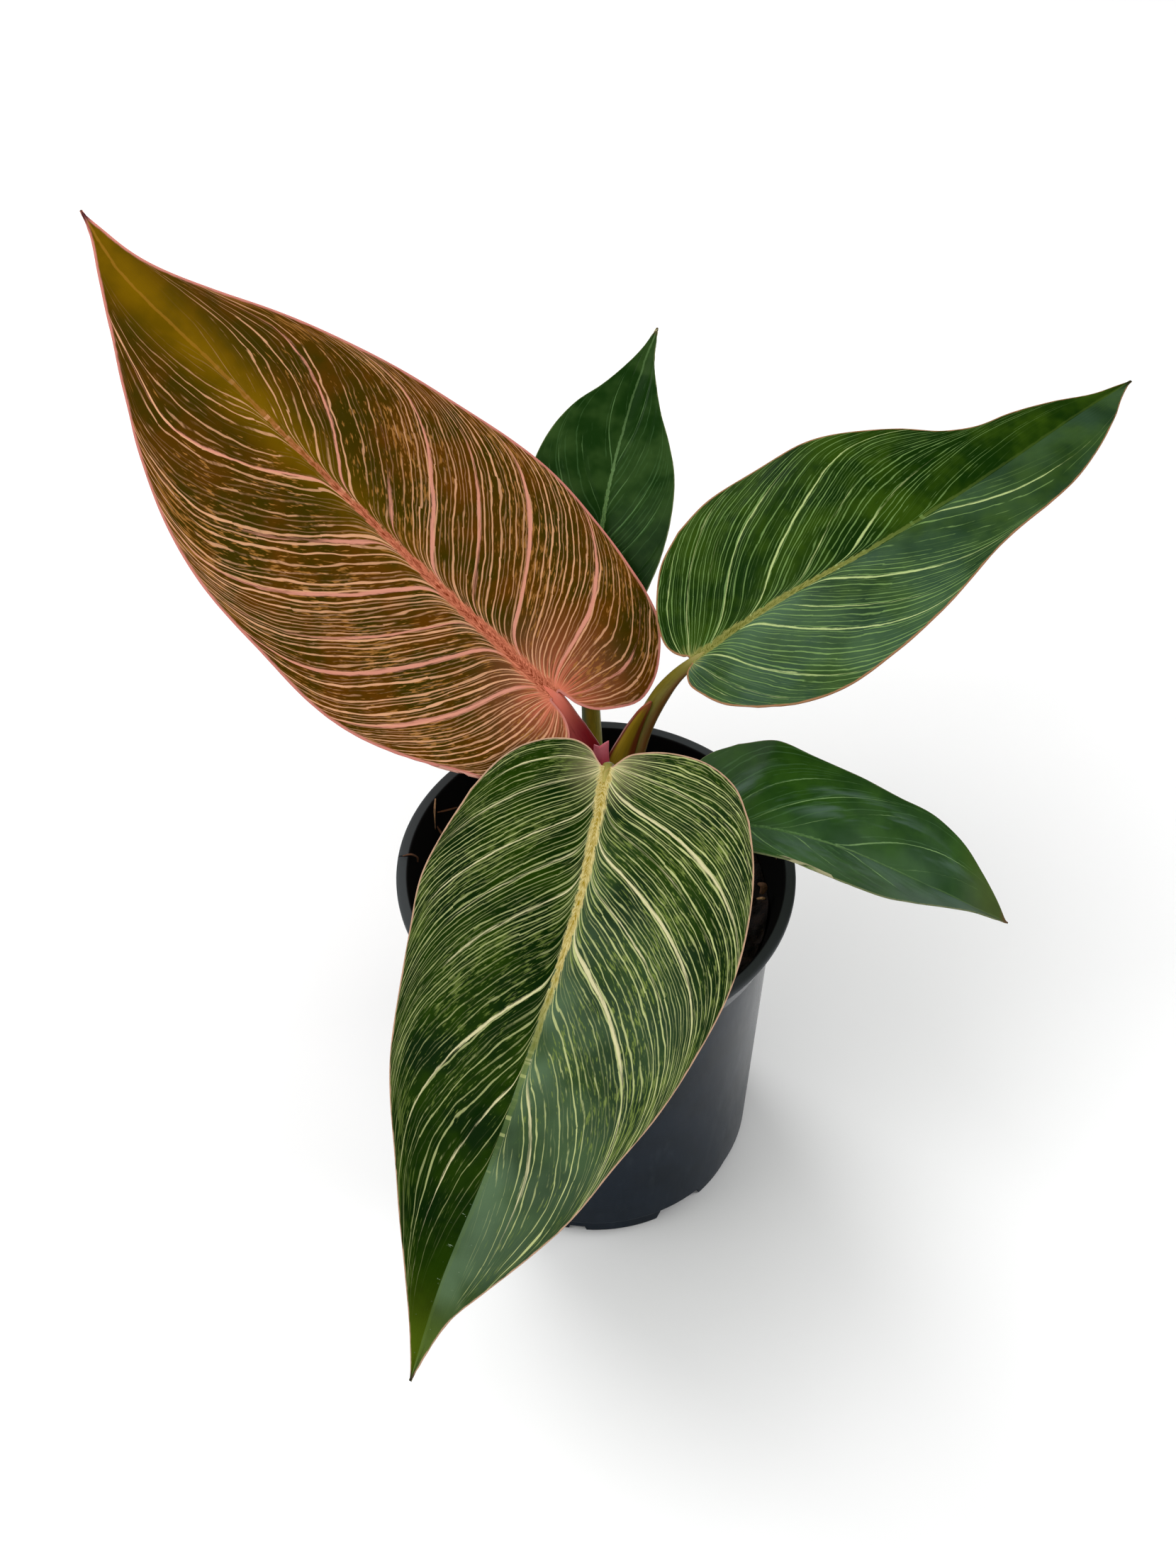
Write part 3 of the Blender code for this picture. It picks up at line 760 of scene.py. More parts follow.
    def draw_ground(self, skin: BladeSkin) -> Value:
        """Colour the ground, with its painted sheen, its painted sheen patches, its glow and the flush round
        the petiole.
        """
        colors, share, vein, on_right = self.colors, skin.share, skin.vein, skin.on_right
        color = skin.mix(skin.patches * vein.ease(0.45, 0.8, 1.0, self.tip_patches), colors.deep,
                         colors.ground)
        # Painted sheen: one half of the blade is coloured lighter where it catches the light.
        if max(self.painted_sheen):
            painted_sheen = skin.clouds((skin.x * 0.05, skin.y * 0.05, on_right * 5.0)).ease(0.3, 0.62, 0.35, 1.0)
            painted_sheen = painted_sheen * on_right.choose(self.painted_sheen) * vein.ease(0.25, 0.75, *self.painted_sheen_course)
            color = color.coat(painted_sheen * skin.off_rib.ease(13.0, 2.0, 0.75, 1.2), colors.painted_sheen)
        # Painted sheen patches: pale grey-blue patches for the light that the glossy leaf reflects.
        if max(self.painted_sheen_patches):
            spots = skin.clouds((share * 1.9, vein * 6.0, on_right * 4.0), ROUGH).ease(0.46, 0.60)
            inner = share.ease(0.10, 0.25) * share.ease(0.70, 0.45)
            inner = inner * (vein.ease(0.1, 0.2) * vein.ease(0.8, 0.65))
            color = color.coat(spots * on_right.choose(self.painted_sheen_patches) * inner, colors.painted_sheen_patches)
        if self.glow_reach:
            near_rib = skin.off_rib.ease(self.glow_reach, 0.0)
            color = color.coat(vein.ease(0.40, 0.80) * near_rib * skin.patches.times(0.35, 0.6), colors.glow)
        flush = skin.from_hub.ease(2.0 * self.hub_reach, 0.3 * self.hub_reach, 0.0, self.flush)
        return color.coat(flush, colors.hub)

    def coat_rib(self, skin: BladeSkin, color: Value) -> Value:
        """Lay the streaked midrib and the pale fan over the petiole on a colour."""
        colors, share, vein, on_right = self.colors, skin.share, skin.vein, skin.on_right
        slant = abs(skin.x).times(-0.014, vein)
        fuzz = skin.clouds((skin.x * 0.5, skin.y * 0.35), ROUGH)
        fuzz = skin.clouds((slant * 95.0, share * 6.0, on_right * 7.0)).times(1.6, fuzz)
        rib_share = skin.off_rib / self.taper(vein, self.rib_width)
        from_rib = rib_share + (fuzz - 1.3) * 1.2
        fibre = skin.clouds((skin.x * 1.8, skin.y * 0.12), STREAKY)
        streak = fibre.ease(0.58, 0.48) * from_rib.ease(self.core, 0.0)
        streak = streak.most(rib_share.ease(0.45, 0.15, 0.0, 0.75) * fibre.ease(0.68, 0.55))
        flecks = skin.clouds((slant * 120.0, skin.x * 0.3, on_right * 5.0), GRAINY).ease(0.46, 0.58)
        flecks = flecks * from_rib.ease(1.2, 0.5, 0.0, 0.7)
        fleck_color = skin.mix(streak.ease(0.3, 0.6), colors.rib_streak, colors.rib)
        rib_color = skin.mix(streak, colors.rib, colors.rib_streak).coat(flecks, fleck_color)
        rib_color = rib_color.coat(vein.ease(self.thin_from, self.thin_from + 0.22), colors.thin_rib)
        rays = skin.clouds((vein * 110.0, share, on_right * 9.0)).ease(0.47, 0.56)
        hub = skin.from_hub.ease(self.hub_reach, 0.3 * self.hub_reach, 0.0, 0.75) * rays
        hub = hub.most(skin.from_hub.ease(0.45 * self.hub_reach, 0.12 * self.hub_reach))
        rib = from_rib.ease(1.25, 0.75) * vein.ease(0.55, 0.85, 1.0, self.rib_end)
        return color.coat(hub, colors.hub).coat(rib, rib_color)

    def coat_rim(self, skin: BladeSkin, color: Value) -> Value:
        """Lay the margin, the scuffs and the tip on a colour."""
        x, y, vein = skin.x, skin.y, skin.vein
        if self.tip_flush:
            flush = y.ease(self.tip_start * 0.82, self.tip_start - 2.0, 0.0, self.tip_flush)
            color = color.coat(flush, self.colors.glow)
        edge = skin.clouds((y * 0.5, x), scale=0.5).times(0.5, skin.margin)
        edge = edge / self.taper(vein, self.margin_width)
        color = color.coat(edge.ease(1.35, 0.75), self.colors.margin)
        if self.scuffs:
            scuff = skin.clouds((x * 0.35, y * 0.9), SCRATCHY).ease(0.66, 0.70) * vein.ease(0.76, 0.82)
            color = color.coat(scuff * vein.ease(0.93, 0.88) * self.scuffs, SCUFF_COLOR)
        return color.coat(y.ease(self.tip_start, self.tip_start + 4.0), self.colors.tip)

    def build(self) -> Material:
        """Build the material.

        Returns:
            The material, which reads the blade's veins and sheet values.
        """
        skin = BladeSkin(self.name)
        lines, hairs, specks = self.draw_stripes(skin)
        bold = self.draw_bold(skin)
        color = self.draw_ground(skin).coat(specks, self.colors.speck)
        color = color.coat(hairs, self.colors.line).coat(lines, self.colors.line)
        color = self.coat_rib(skin, color.coat(bold, self.colors.bold))
        color = self.coat_rim(skin, color)
        marks = lines.most(bold)
        rough = marks.times(0.06, skin.patches.times(0.08, self.roughness))
        height = skin.grain.times(0.35, marks * -0.65)
        return skin.finish(color, rough, self.gloss, height, 0.12, self.relief)

    @staticmethod
    def taper(vein: Value, widths: Pair) -> Value:
        """Narrow a width from a blade's base to its tip."""
        return vein.ease(-0.1, 1.0, *widths)


# The blades


@dataclass(frozen=True)
class Half:
    """One half of a blade's flat outline, as (across, along) points in mm from the petiole's end.

    lobe runs from the rib round the back lobe, edge from there on to the tip, and sweep is how far the
    side veins slant towards the tip, as a share of the blade.
    """

    lobe: Points
    edge: Points
    sweep: float = 0.0


@dataclass(frozen=True)
class Blade:
    """A blade: its midrib in space, how its sheet stands on it and its outline.

    roll tips it to its right and fold lifts both halves off flat, each listed in degrees from base to
    tip. curl is how many degrees a half bends back down over every 10 mm across.
    """

    name: str
    node: str
    midrib: Points
    roll: tuple[float, ...]
    fold: tuple[float, ...]
    wave: float
    left: Half
    right: Half
    upper: BladeFinish
    under: BladeFinish
    curl: float = 4.0
    rows: int = 170
    half_columns: int = 36
    rib_columns: int = 8
    sheet: float = 0.7
    margin_sheet: float = 0.45
    rib_depth: Pair = (2.4, 0.9)
    rib_half_width: float = 1.5
    pleat: float = 0.30

    # The same for every blade, in mm or as shares
    MIDRIB_POINTS = 400
    OUTLINE_POINTS = 500
    TANGENT_REACH = 4.0
    WAVE_LENGTH = 58.0
    WAVE_REACH = 45.0
    RIGHT_WAVE_LEAD = 2.4
    VEIN_CROWDING = 1.9
    LOBE_FADE = 6
    VEIN_BOW = 0.8
    FULL_RIB_LENGTH = 190.0
    RIB_TAPER = 0.7
    RIB_END = 0.2
    TIP_START = 0.93
    TIP_THINNING = 0.65
    RIB_GROOVE = 0.45
    RIB_GROOVE_WIDTH = 1.3
    VEIN_GROOVE_WIDTH = 0.012
    FINE_PLEATS = 38
    FINE_PLEAT_HEIGHT = 0.06
    COLUMN_CROWDING = 1.5
    RIDGE_MARGIN = 0.6
    MARGIN_FADE = 3.0

    # Places from base to tip, and there how far side veins bunch up at the midrib, how far from it they
    # do, how far they rise towards the tip and how far they turn up at the margin
    BUNCH = ((0.0, 0.08, 0.2, 0.35, 0.6, 1.0), (0.06, 0.075, 0.05, 0.03, 0.022, 0.012))
    BUNCH_REACH = ((0.0, 0.15, 0.3, 0.6, 1.0), (0.06, 0.06, 0.025, 0.015, 0.012))
    RISE = ((0.5, 0.6, 0.7, 0.77, 0.85, 1.0), (0.0, 0.025, 0.06, 0.12, 0.16, 0.20))
    TURN = ((0.2, 0.3, 0.45, 0.6, 0.8, 1.0), (0.0, 0.04, 0.07, 0.07, 0.05, 0.0))

    def line(self) -> tuple[Array, Array]:
        """Give the midrib's points and how far along each one is, in mm."""
        points = smooth_curve(self.midrib, self.MIDRIB_POINTS)
        return points, distances(points)

    def stand(self, y: Array) -> tuple[Array, Array, Array]:
        """Find where the sheet stands on the midrib.

        Args:
            y: Distances along the midrib.

        Returns:
            The midrib's point, its right-hand side and the sheet's upper side at each distance.
        """
        points, station = self.line()
        length = station[-1]
        inside = np.clip(y, 0.0, length)
        ahead, behind = (read_line(np.clip(inside + step, 0.0, length), station, points)
                         for step in (self.TANGENT_REACH, -self.TANGENT_REACH))
        forward = unit(ahead - behind)
        start = read_line(inside, station, points) + forward * (y - inside)[..., None]
        level = unit(np.cross(forward, (0.0, 0.0, 1.0)))
        upright = np.cross(level, forward)
        roll = np.radians(along(self.roll, inside / length))[..., None]
        right = np.cos(roll) * level - np.sin(roll) * upright
        return start, right, np.cos(roll) * upright + np.sin(roll) * level

    def bend(self, x: Array, y: Array, lift: Array) -> Array:
        """Bend flat points to the blade's shape in space.

        Args:
            x: Distances across, positive to the right.
            y: Distances along the midrib.
            lift: How far each point is raised off the sheet.

        Returns:
            The points in space, in mm.
        """
        start, right, up = self.stand(y)
        length = self.line()[1][-1]
        fold = np.radians(along(self.fold, np.clip(y / length, 0.0, 1.0)))
        curl = math.radians(self.curl) / 10.0
        reach = np.abs(x)
        sideways = (np.sin(fold) - np.sin(fold - curl * reach)) / curl
        height = (np.cos(fold - curl * reach) - np.cos(fold)) / curl + lift
        phase = 2 * np.pi * y / self.WAVE_LENGTH + np.where(x > 0, self.RIGHT_WAVE_LEAD, 0.0)
        height = height + self.wave * (reach / self.WAVE_REACH) ** 2 * np.sin(phase)
        return start + right * (np.sign(x) * sideways)[..., None] + up * height[..., None]

    def rib_taper(self, s: Array) -> Array:
        """Give the midrib's half width, in mm, at places from base to tip."""
        return self.rib_half_width * (1.0 - s) ** self.RIB_TAPER

    def in_tip(self, s: Array) -> Array:
        """Give how far into the thin tip places from base to tip are, from 0 to 1."""
        return np.clip((s - self.TIP_START) / (1.0 - self.TIP_START), 0.0, 1.0)

    def half_flat(self, side: Side, length: float, s: Array, t: Array) -> Array:
        """Lay out one half flat.

        Args:
            side: Which half.
            length: The midrib's length.
            s: The side vein's place, from base to tip.
            t: The share along the vein, from rib to margin.

        Returns:
            The (across, along) points in mm.
        """
        half = self.right if side is Side.RIGHT else self.left
        rib = self.rib_taper(s) * length / self.FULL_RIB_LENGTH + self.RIB_END
        start = np.stack([rib, length * s ** self.VEIN_CROWDING], axis=-1)
        lobe = smooth_curve(half.lobe)
        ends = along(smooth_curve(half.lobe[-1:] + half.edge), s)
        bulge = along(lobe, t) - lerp(lobe[0], lobe[-1], t[..., None])
        fade = (1.0 - s) ** self.LOBE_FADE
        bow = self.VEIN_BOW * t * (1.0 - t) * (1.0 - fade) * (ends - start)[..., 0]
        flat = lerp(start, ends, t[..., None]) + fade[..., None] * bulge
        flat[..., 0] += bow
        flat[..., 0] *= 1.0 - self.TIP_THINNING * self.in_tip(s) ** 3
        return flat

    def vein_label(self, s: Array, t: Array, sweep: Array) -> Array:
        """Say which side vein runs through each point.

        Side veins bunch up along the midrib before they leave it, and curve forward towards the tip.

        Args:
            s: The grid's place from base to tip.
            t: The share from rib to margin.
            sweep: How far the veins slant towards the tip.

        Returns:
            The vein's place from base to tip.
        """
        bunch, bunch_reach, rise, turn = (
            np.interp(s, *table) for table in (self.BUNCH, self.BUNCH_REACH, self.RISE, self.TURN))
        return s + bunch * np.exp(-t / bunch_reach) - (rise + sweep * np.sin(np.pi * s)) * t - turn * t ** 8

    def relief(self, vein: Array, t: Array, x: Array, side: Array) -> Array:
        """Sink the midrib and the bold side veins, and let the sheet swell between them.

        Args:
            vein: The side vein's place.
            t: The share from rib to margin.
            x: Distances across.
            side: The sign of each point's half.

        Returns:
            How far each point is raised, in mm.
        """
        groove = np.exp(-(x / self.RIB_GROOVE_WIDTH) ** 2)
        lift = -self.RIB_GROOVE * groove * (1.0 - vein).clip(0.0, 1.0)
        reach = np.sin(np.pi * np.clip(t, 0.0, 1.0) ** 0.6) ** 0.7
        for sign, veins in ((-1, self.upper.left_veins), (1, self.upper.right_veins)):
            for bold in veins:
                groove = np.exp(-((vein - bold.place) / self.VEIN_GROOVE_WIDTH) ** 2)
                lift = lift - self.pleat * bold.strength * groove * reach * (side == sign)
        return lift + self.FINE_PLEAT_HEIGHT * np.sin(vein * 2 * np.pi * self.FINE_PLEATS) * reach

    def margin_distance(self, flat: Array, length: float) -> Array:
        """Measure how far each flat point is from the blade's margin, in mm."""
        s = np.linspace(0.0, 1.0, self.OUTLINE_POINTS)
        outlines = []
        for side in Side:
            sign = (side.value, 1.0)
            outlines.append(self.half_flat(side, length, s, np.ones_like(s)) * sign)
            outlines.append(self.half_flat(side, length, np.zeros_like(s), s) * sign)
        outline = np.concatenate(outlines)
        return np.min(np.linalg.norm(flat[:, None, :] - outline[None, :, :], axis=-1), axis=1)

    def build(self) -> None:
        """Build the blade."""
        columns = 2 * self.half_columns + self.rib_columns
        item, u, s = add_grid(self.name, columns, self.rows)
        length = self.line()[1][-1]
        column = np.rint(u * columns)
        from_middle = column - columns / 2
        side = np.where(from_middle < 0, -1.0, 1.0)
        outward = (np.abs(from_middle) - self.rib_columns / 2) / self.half_columns
        t = np.clip(outward, 0.0, 1.0) ** self.COLUMN_CROWDING
        flat = np.where((side > 0)[:, None], self.half_flat(Side.RIGHT, length, s, t),
                        self.half_flat(Side.LEFT, length, s, t) * (-1.0, 1.0))
        in_rib = outward < 0
        flat[in_rib, 0] *= np.abs(from_middle[in_rib]) / (self.rib_columns / 2)
        x, y = flat.T
        sweep = np.where(side > 0, self.right.sweep, self.left.sweep)
        vein = self.vein_label(s, t, sweep)
        write_points(item, self.bend(x, y, self.relief(vein, t, x, side)))
        margin = self.margin_distance(flat, length)
        add_values(item, "veins", np.stack([side * t, vein, 0 * t], axis=-1))
        add_values(item, "sheet", np.stack([x, y, margin], axis=-1))

        share = np.clip(y / length, 0.0, 1.0)
        ridge = np.sqrt(np.clip(1.0 - (x / (self.rib_taper(s) + self.RIDGE_MARGIN)) ** 2, 0.0, 1.0))
        sheet = lerp(self.margin_sheet, self.sheet, np.clip(margin / self.MARGIN_FADE, 0.0, 1.0))
        depth = sheet + (lerp(*self.rib_depth, share) - sheet) * ridge
        depth *= 1.0 - self.TIP_THINNING * self.in_tip(s)
        group = item.vertex_groups.new(name="depth")
        for index, value in enumerate(depth / self.rib_depth[0]):
            group.add([index], float(value), "REPLACE")
        item.data.materials.append(self.upper.build())
        item.data.materials.append(self.under.build())
        solid = item.modifiers.new("depth", "SOLIDIFY")
        solid.thickness = self.rib_depth[0] * MM
        solid.offset = -1.0
        solid.vertex_group = "depth"
        solid.material_offset = 1
        apply_modifiers(item)
        dress_piece(item, 60.0)
        place_piece(item, self.node)


PINK_UPPER = BladeFinish(
    "pink_blade_upper",
    BladeColors(deep=(52, 42, 0), ground=(84, 48, 2), glow=(110, 82, 0), line=(214, 160, 122),
                speck=(164, 112, 54), bold=(208, 140, 120), rib=(208, 124, 94), rib_streak=(118, 48, 22),
                margin=(188, 118, 106), tip=(96, 50, 52), hub=(206, 112, 86), thin_rib=(156, 108, 36)),
    left_veins=bold_veins((0.10, 0.006, 0.5), (0.205, 0.010, 0.85), (0.325, 0.008, 0.95),
                          (0.395, 0.006, 0.6), (0.475, 0.006, 0.95), (0.56, 0.005, 0.7), (0.66, 0.005, 0.7)),
    right_veins=bold_veins((0.05, 0.006, 0.6), (0.152, 0.008, 0.9), (0.298, 0.007, 0.95),
                           (0.40, 0.005, 0.75), (0.487, 0.006, 0.95), (0.56, 0.004, 0.6),
                           (0.64, 0.005, 0.8)),
    line_count=66.0, line_width=0.10, specks=0.6, hairs=0.35, cover=0.44, rib_width=(2.9, 0.35), core=1.3,
    glow_reach=13.0, hub_reach=15.0, flush=0.28, half_width=(1.15, 0.85), margin_width=(0.9, 0.9),
    plain_tip=0.79, thin_from=0.66, bold_width=1.05,
    tip_start=193.5, gloss=0.012, tip_gaps=0.08, tip_patches=0.4, half_strength=(1.16, 1.0))

PINK_UNDER = BladeFinish(
    "pink_blade_under",
    BladeColors(deep=(112, 78, 44), ground=(140, 90, 54), glow=(150, 106, 50), line=(188, 122, 94),
                speck=(170, 110, 80), bold=(200, 120, 100), rib=(190, 92, 74), rib_streak=(146, 60, 46),
                margin=(192, 140, 124), tip=(110, 50, 56), hub=(190, 92, 74), thin_rib=(170, 100, 60)),
    left_veins=PINK_UPPER.left_veins, right_veins=PINK_UPPER.right_veins, line_count=78.0, lines=0.45,
    specks=0.2, hairs=0.1, rib_width=(2.6, 0.6), roughness=0.55, plain_tip=0.85)

FRONT_UPPER = BladeFinish(
    "front_blade_upper",
    BladeColors(deep=(6, 28, 0), ground=(26, 48, 0), glow=(92, 112, 18), line=(178, 184, 124),
                speck=(108, 124, 58), bold=(206, 200, 154), rib=(200, 186, 126), rib_streak=(138, 116, 20),
                margin=(180, 146, 120), tip=(30, 30, 22), hub=(214, 202, 150), thin_rib=(96, 116, 50),
                painted_sheen=(92, 116, 86)),
    left_veins=bold_veins((0.10, 0.006, 0.7), (0.21, 0.009, 0.9), (0.29, 0.005, 0.5), (0.362, 0.008, 0.85),
                          (0.43, 0.005, 0.6), (0.53, 0.007, 0.95), (0.705, 0.005, 0.9)),
    right_veins=bold_veins((0.06, 0.006, 0.7), (0.145, 0.008, 0.6), (0.27, 0.006, 0.8), (0.36, 0.005, 0.6),
                           (0.44, 0.006, 0.75), (0.59, 0.006, 0.75), (0.71, 0.005, 0.8)),
    line_count=70.0, line_width=0.095, specks=0.65, hairs=0.3, cover=0.45, rib_width=(2.05, 0.5), core=1.2,
    hub_reach=8.0, flush=0.2, half_strength=(1.2, 0.75), painted_sheen=(0.6, 0.0), painted_sheen_course=(0.1, 1.0),
    margin_width=(0.65, 0.5), plain_tip=0.80, thin_from=0.55, rib_end=0.15, bold_width=0.8, scuffs=0.7,
    tip_start=183.0, tip_flush=0.55, gloss=0.018)

GREEN_UNDER = BladeFinish(
    "green_blade_under",
    BladeColors(deep=(78, 102, 56), ground=(98, 122, 70), glow=(100, 122, 70), line=(130, 150, 96),
                speck=(120, 140, 86), bold=(144, 158, 104), rib=(144, 154, 92), rib_streak=(124, 132, 72),
                margin=(150, 146, 112), tip=(84, 74, 54), hub=(144, 154, 92), thin_rib=(130, 142, 84)),
    left_veins=FRONT_UPPER.left_veins, right_veins=FRONT_UPPER.right_veins, lines=0.3, specks=0.1,
    hairs=0.0, rib_width=(2.4, 0.6), roughness=0.55, plain_tip=0.85)

RIGHT_UPPER = BladeFinish(
    "right_blade_upper",
    BladeColors(deep=(12, 38, 0), ground=(40, 64, 4), glow=(50, 72, 14), line=(118, 148, 84),
                speck=(80, 112, 56), bold=(172, 188, 124), rib=(138, 138, 74), rib_streak=(84, 88, 24),
                margin=(146, 106, 74), tip=(34, 28, 18), hub=(150, 148, 82), thin_rib=(84, 102, 44),
                painted_sheen=(74, 102, 80)),
    left_veins=bold_veins((0.04, 0.006, 0.6), (0.115, 0.007, 0.7), (0.19, 0.005, 0.4), (0.255, 0.006, 0.8),
                          (0.375, 0.006, 0.9), (0.47, 0.005, 0.6), (0.56, 0.005, 0.8)),
    right_veins=bold_veins((0.055, 0.005, 0.5), (0.115, 0.006, 0.7), (0.205, 0.007, 0.8),
                           (0.34, 0.006, 0.95), (0.41, 0.005, 0.6), (0.505, 0.007, 0.9), (0.70, 0.006, 0.8)),
    line_count=62.0, line_width=0.09, gaps=0.42, lines=0.76, specks=0.35, hairs=0.2, cover=0.34,
    rib_width=(1.7, 0.3), core=1.1, hub_reach=6.0, painted_sheen=(0.0, 0.6), margin_width=(0.7, 0.4),
    plain_tip=0.76, roughness=0.38, bold_width=0.85, rib_end=0.2,
    tip_start=159.0, gloss=0.03)

DARK_UPPER = BladeFinish(
    "dark_blade_upper",
    BladeColors(deep=(26, 58, 8), ground=(44, 78, 18), glow=(84, 82, 30), line=(78, 112, 70),
                speck=(50, 84, 50), bold=(122, 154, 98), rib=(84, 118, 66), rib_streak=(44, 74, 38),
                margin=(104, 112, 76), tip=(96, 64, 44), hub=(90, 112, 56), thin_rib=(90, 118, 72),
                painted_sheen=(86, 108, 96)),
    left_veins=bold_veins((0.12, 0.006, 0.5), (0.26, 0.006, 0.7), (0.40, 0.006, 0.7), (0.52, 0.005, 0.5),
                          (0.66, 0.006, 0.7), (0.78, 0.005, 0.5)),
    right_veins=bold_veins((0.14, 0.006, 0.5), (0.30, 0.006, 0.7), (0.41, 0.006, 0.6), (0.54, 0.006, 0.6),
                           (0.66, 0.006, 0.6)),
    line_count=40.0, line_width=0.09, gaps=0.5, lines=0.45, specks=0.15, hairs=0.0, cover=0.32,
    rib_width=(1.1, 0.25), core=0.6, hub_reach=5.0, painted_sheen=(0.2, 0.5), painted_sheen_course=(0.2, 1.0),
    margin_width=(0.45, 0.35), roughness=0.3, tip_start=103.5, tip_flush=0.35, painted_sheen_patches=(0.65, 0.4),
    gloss=0.04)

BACK_UPPER = replace(
    DARK_UPPER, name="back_blade_upper", painted_sheen=(0.0, 0.0), tip_start=93.0, tip_flush=0.0, painted_sheen_patches=(0.0, 0.0),
    gloss=0.03,
    colors=replace(DARK_UPPER.colors, deep=(16, 42, 6), ground=(40, 64, 24), line=(60, 90, 50),
                   bold=(84, 116, 68), rib=(84, 112, 60)))

BLADES = (
    Blade(
        "pink_blade", "blade_pink",
        midrib=((-12, 20, 184), (-38, 35, 204), (-67, 52, 227), (-108, 82, 255), (-138, 108, 271),
                (-149, 126, 276)),
        roll=(-16, -12), fold=(14, 6), wave=0.9,
        left=Half(lobe=((1.5, 0), (1.8, -2), (2.4, -5), (6, -10.5), (14, -13), (23, -11), (31, -5), (38, 7)),
                  edge=((44, 18), (50, 34), (52.5, 52), (51.5, 72), (49, 92), (43, 113), (34, 132),
                        (24, 149), (14, 163), (6, 177), (2, 188), (0.5, 199))),
        right=Half(lobe=((1.5, 0), (1.8, -2), (2.3, -5.5), (4.6, -11), (9.2, -15.5), (16, -19.5), (24, -18.5),
                         (31, -14.5), (38.5, -7), (42.5, 2)),
                   edge=((47, 18), (49.5, 40), (48, 60), (43, 84), (34, 112), (27, 130), (17, 150),
                         (8, 172), (3, 189), (0.5, 199))),
        upper=PINK_UPPER, under=PINK_UNDER),
    Blade(
        "front_blade", "blade_front",
        midrib=((3, -5, 182), (-4, -42, 173), (-16, -82, 161), (-28, -113, 145), (-42, -139, 123),
                (-51, -154, 98)),
        roll=(0, 0), fold=(12, 6), wave=0.9,
        left=Half(lobe=((1.5, 0), (2.7, -1.2), (5, -3.4), (11, -5.2), (20, -5.5), (29, -3.5), (37, 2),
                        (43, 13)),
                  edge=((46.5, 27), (48, 44), (47.5, 60), (44, 78), (39.2, 94), (32.2, 111),
                        (26.2, 127), (20, 139), (12, 153), (5.8, 164), (2.8, 174), (0.5, 187))),
        right=Half(lobe=((1.5, 0), (2.7, -1.2), (5, -4), (9, -6), (16, -5.5), (24, -2), (31, 4.5), (37, 14)),
                   edge=((42, 28), (45, 45), (43.5, 64), (41, 82), (36.5, 103), (29.8, 121),
                         (21, 139), (11, 157), (5.8, 169), (2.4, 179), (0.5, 187))),
        upper=FRONT_UPPER, under=GREEN_UNDER),
    Blade(
        "right_blade", "blade_right",
        midrib=((27, 21, 198), (50, 29, 213), (80, 42, 224), (110, 62, 230), (143, 87, 235),
                (158, 102, 232)),
        roll=(0, 0), fold=(16, 10), wave=1.3,
        left=Half(lobe=((1.5, 0), (2.8, -1.6), (7, -4), (15, -3.5), (24, 0.5), (32, 6), (38, 15)),
                  edge=((42, 28), (44, 45), (43, 60), (38, 77), (29, 93), (19.5, 103), (15, 111),
                        (12.5, 121), (8, 134), (3, 147), (0.5, 163)), sweep=0.09),
        right=Half(lobe=((1.5, 0), (3, -1.8), (8, -3), (16, -0.5), (24, 4), (32, 12.5)),
                   edge=((39, 24), (42, 36), (39.5, 50), (34, 63), (29, 74), (25, 85), (23, 96),
                         (22, 107), (20, 118), (15, 131), (9, 143), (3, 155), (0.5, 163))),
        upper=RIGHT_UPPER, under=GREEN_UNDER),
    Blade(
        "back_blade", "blade_back",
        midrib=((-1, 55, 186), (2, 75, 201), (6, 94, 209), (11, 113, 215), (19, 142, 218)),
        roll=(0, 0), fold=(12, 10), wave=1.2,
        left=Half(lobe=((1.2, 0), (2.4, -1.2), (5, -4.5), (10, -6), (16, -1), (20, 10)),
                  edge=((24, 25), (24, 38), (21, 51), (16, 61), (10, 69), (5, 79), (2, 88),
                        (0.5, 96)), sweep=0.12),
        right=Half(lobe=((1.2, 0), (2.4, -1.2), (5.5, -4), (11, -3), (16, 5)),
                   edge=((19, 15), (20.5, 28), (19, 42), (15, 53), (10, 63), (6, 73), (3, 82),
                         (0.5, 96)), sweep=0.12),
        upper=BACK_UPPER, under=GREEN_UNDER, rows=110, half_columns=24, pleat=0.4),
    Blade(
        "low_blade", "blade_low",
        midrib=((28, -1, 151), (46, -9, 160), (72, -15, 157), (89, -17, 148), (122, -19, 127)),
        roll=(-10, -6), fold=(28, 22, 16), wave=1.2,
        left=Half(lobe=((1.2, 0), (2.4, -1.2), (5, -5), (10, -8), (17, -8), (24, -4), (28.5, 6)),
                  edge=((29.5, 20), (27, 34), (25.5, 48), (24.5, 64), (24, 80), (20, 90), (13, 97),
                        (0.5, 107)), sweep=0.25),
        right=Half(lobe=((1.2, 0), (2.4, -1.2), (5.5, -4), (11, -5), (17, 2), (20, 12)),
                   edge=((20, 26), (20, 36), (22.8, 45), (23, 54), (17, 67), (9, 82), (3, 95),
                         (0.5, 107)), sweep=-0.10),
        upper=DARK_UPPER, under=GREEN_UNDER, rows=110, half_columns=24, pleat=0.4),
)


# The petioles, the stem and the rolled tip of the next leaf

STALK_GLOSS = 0.25


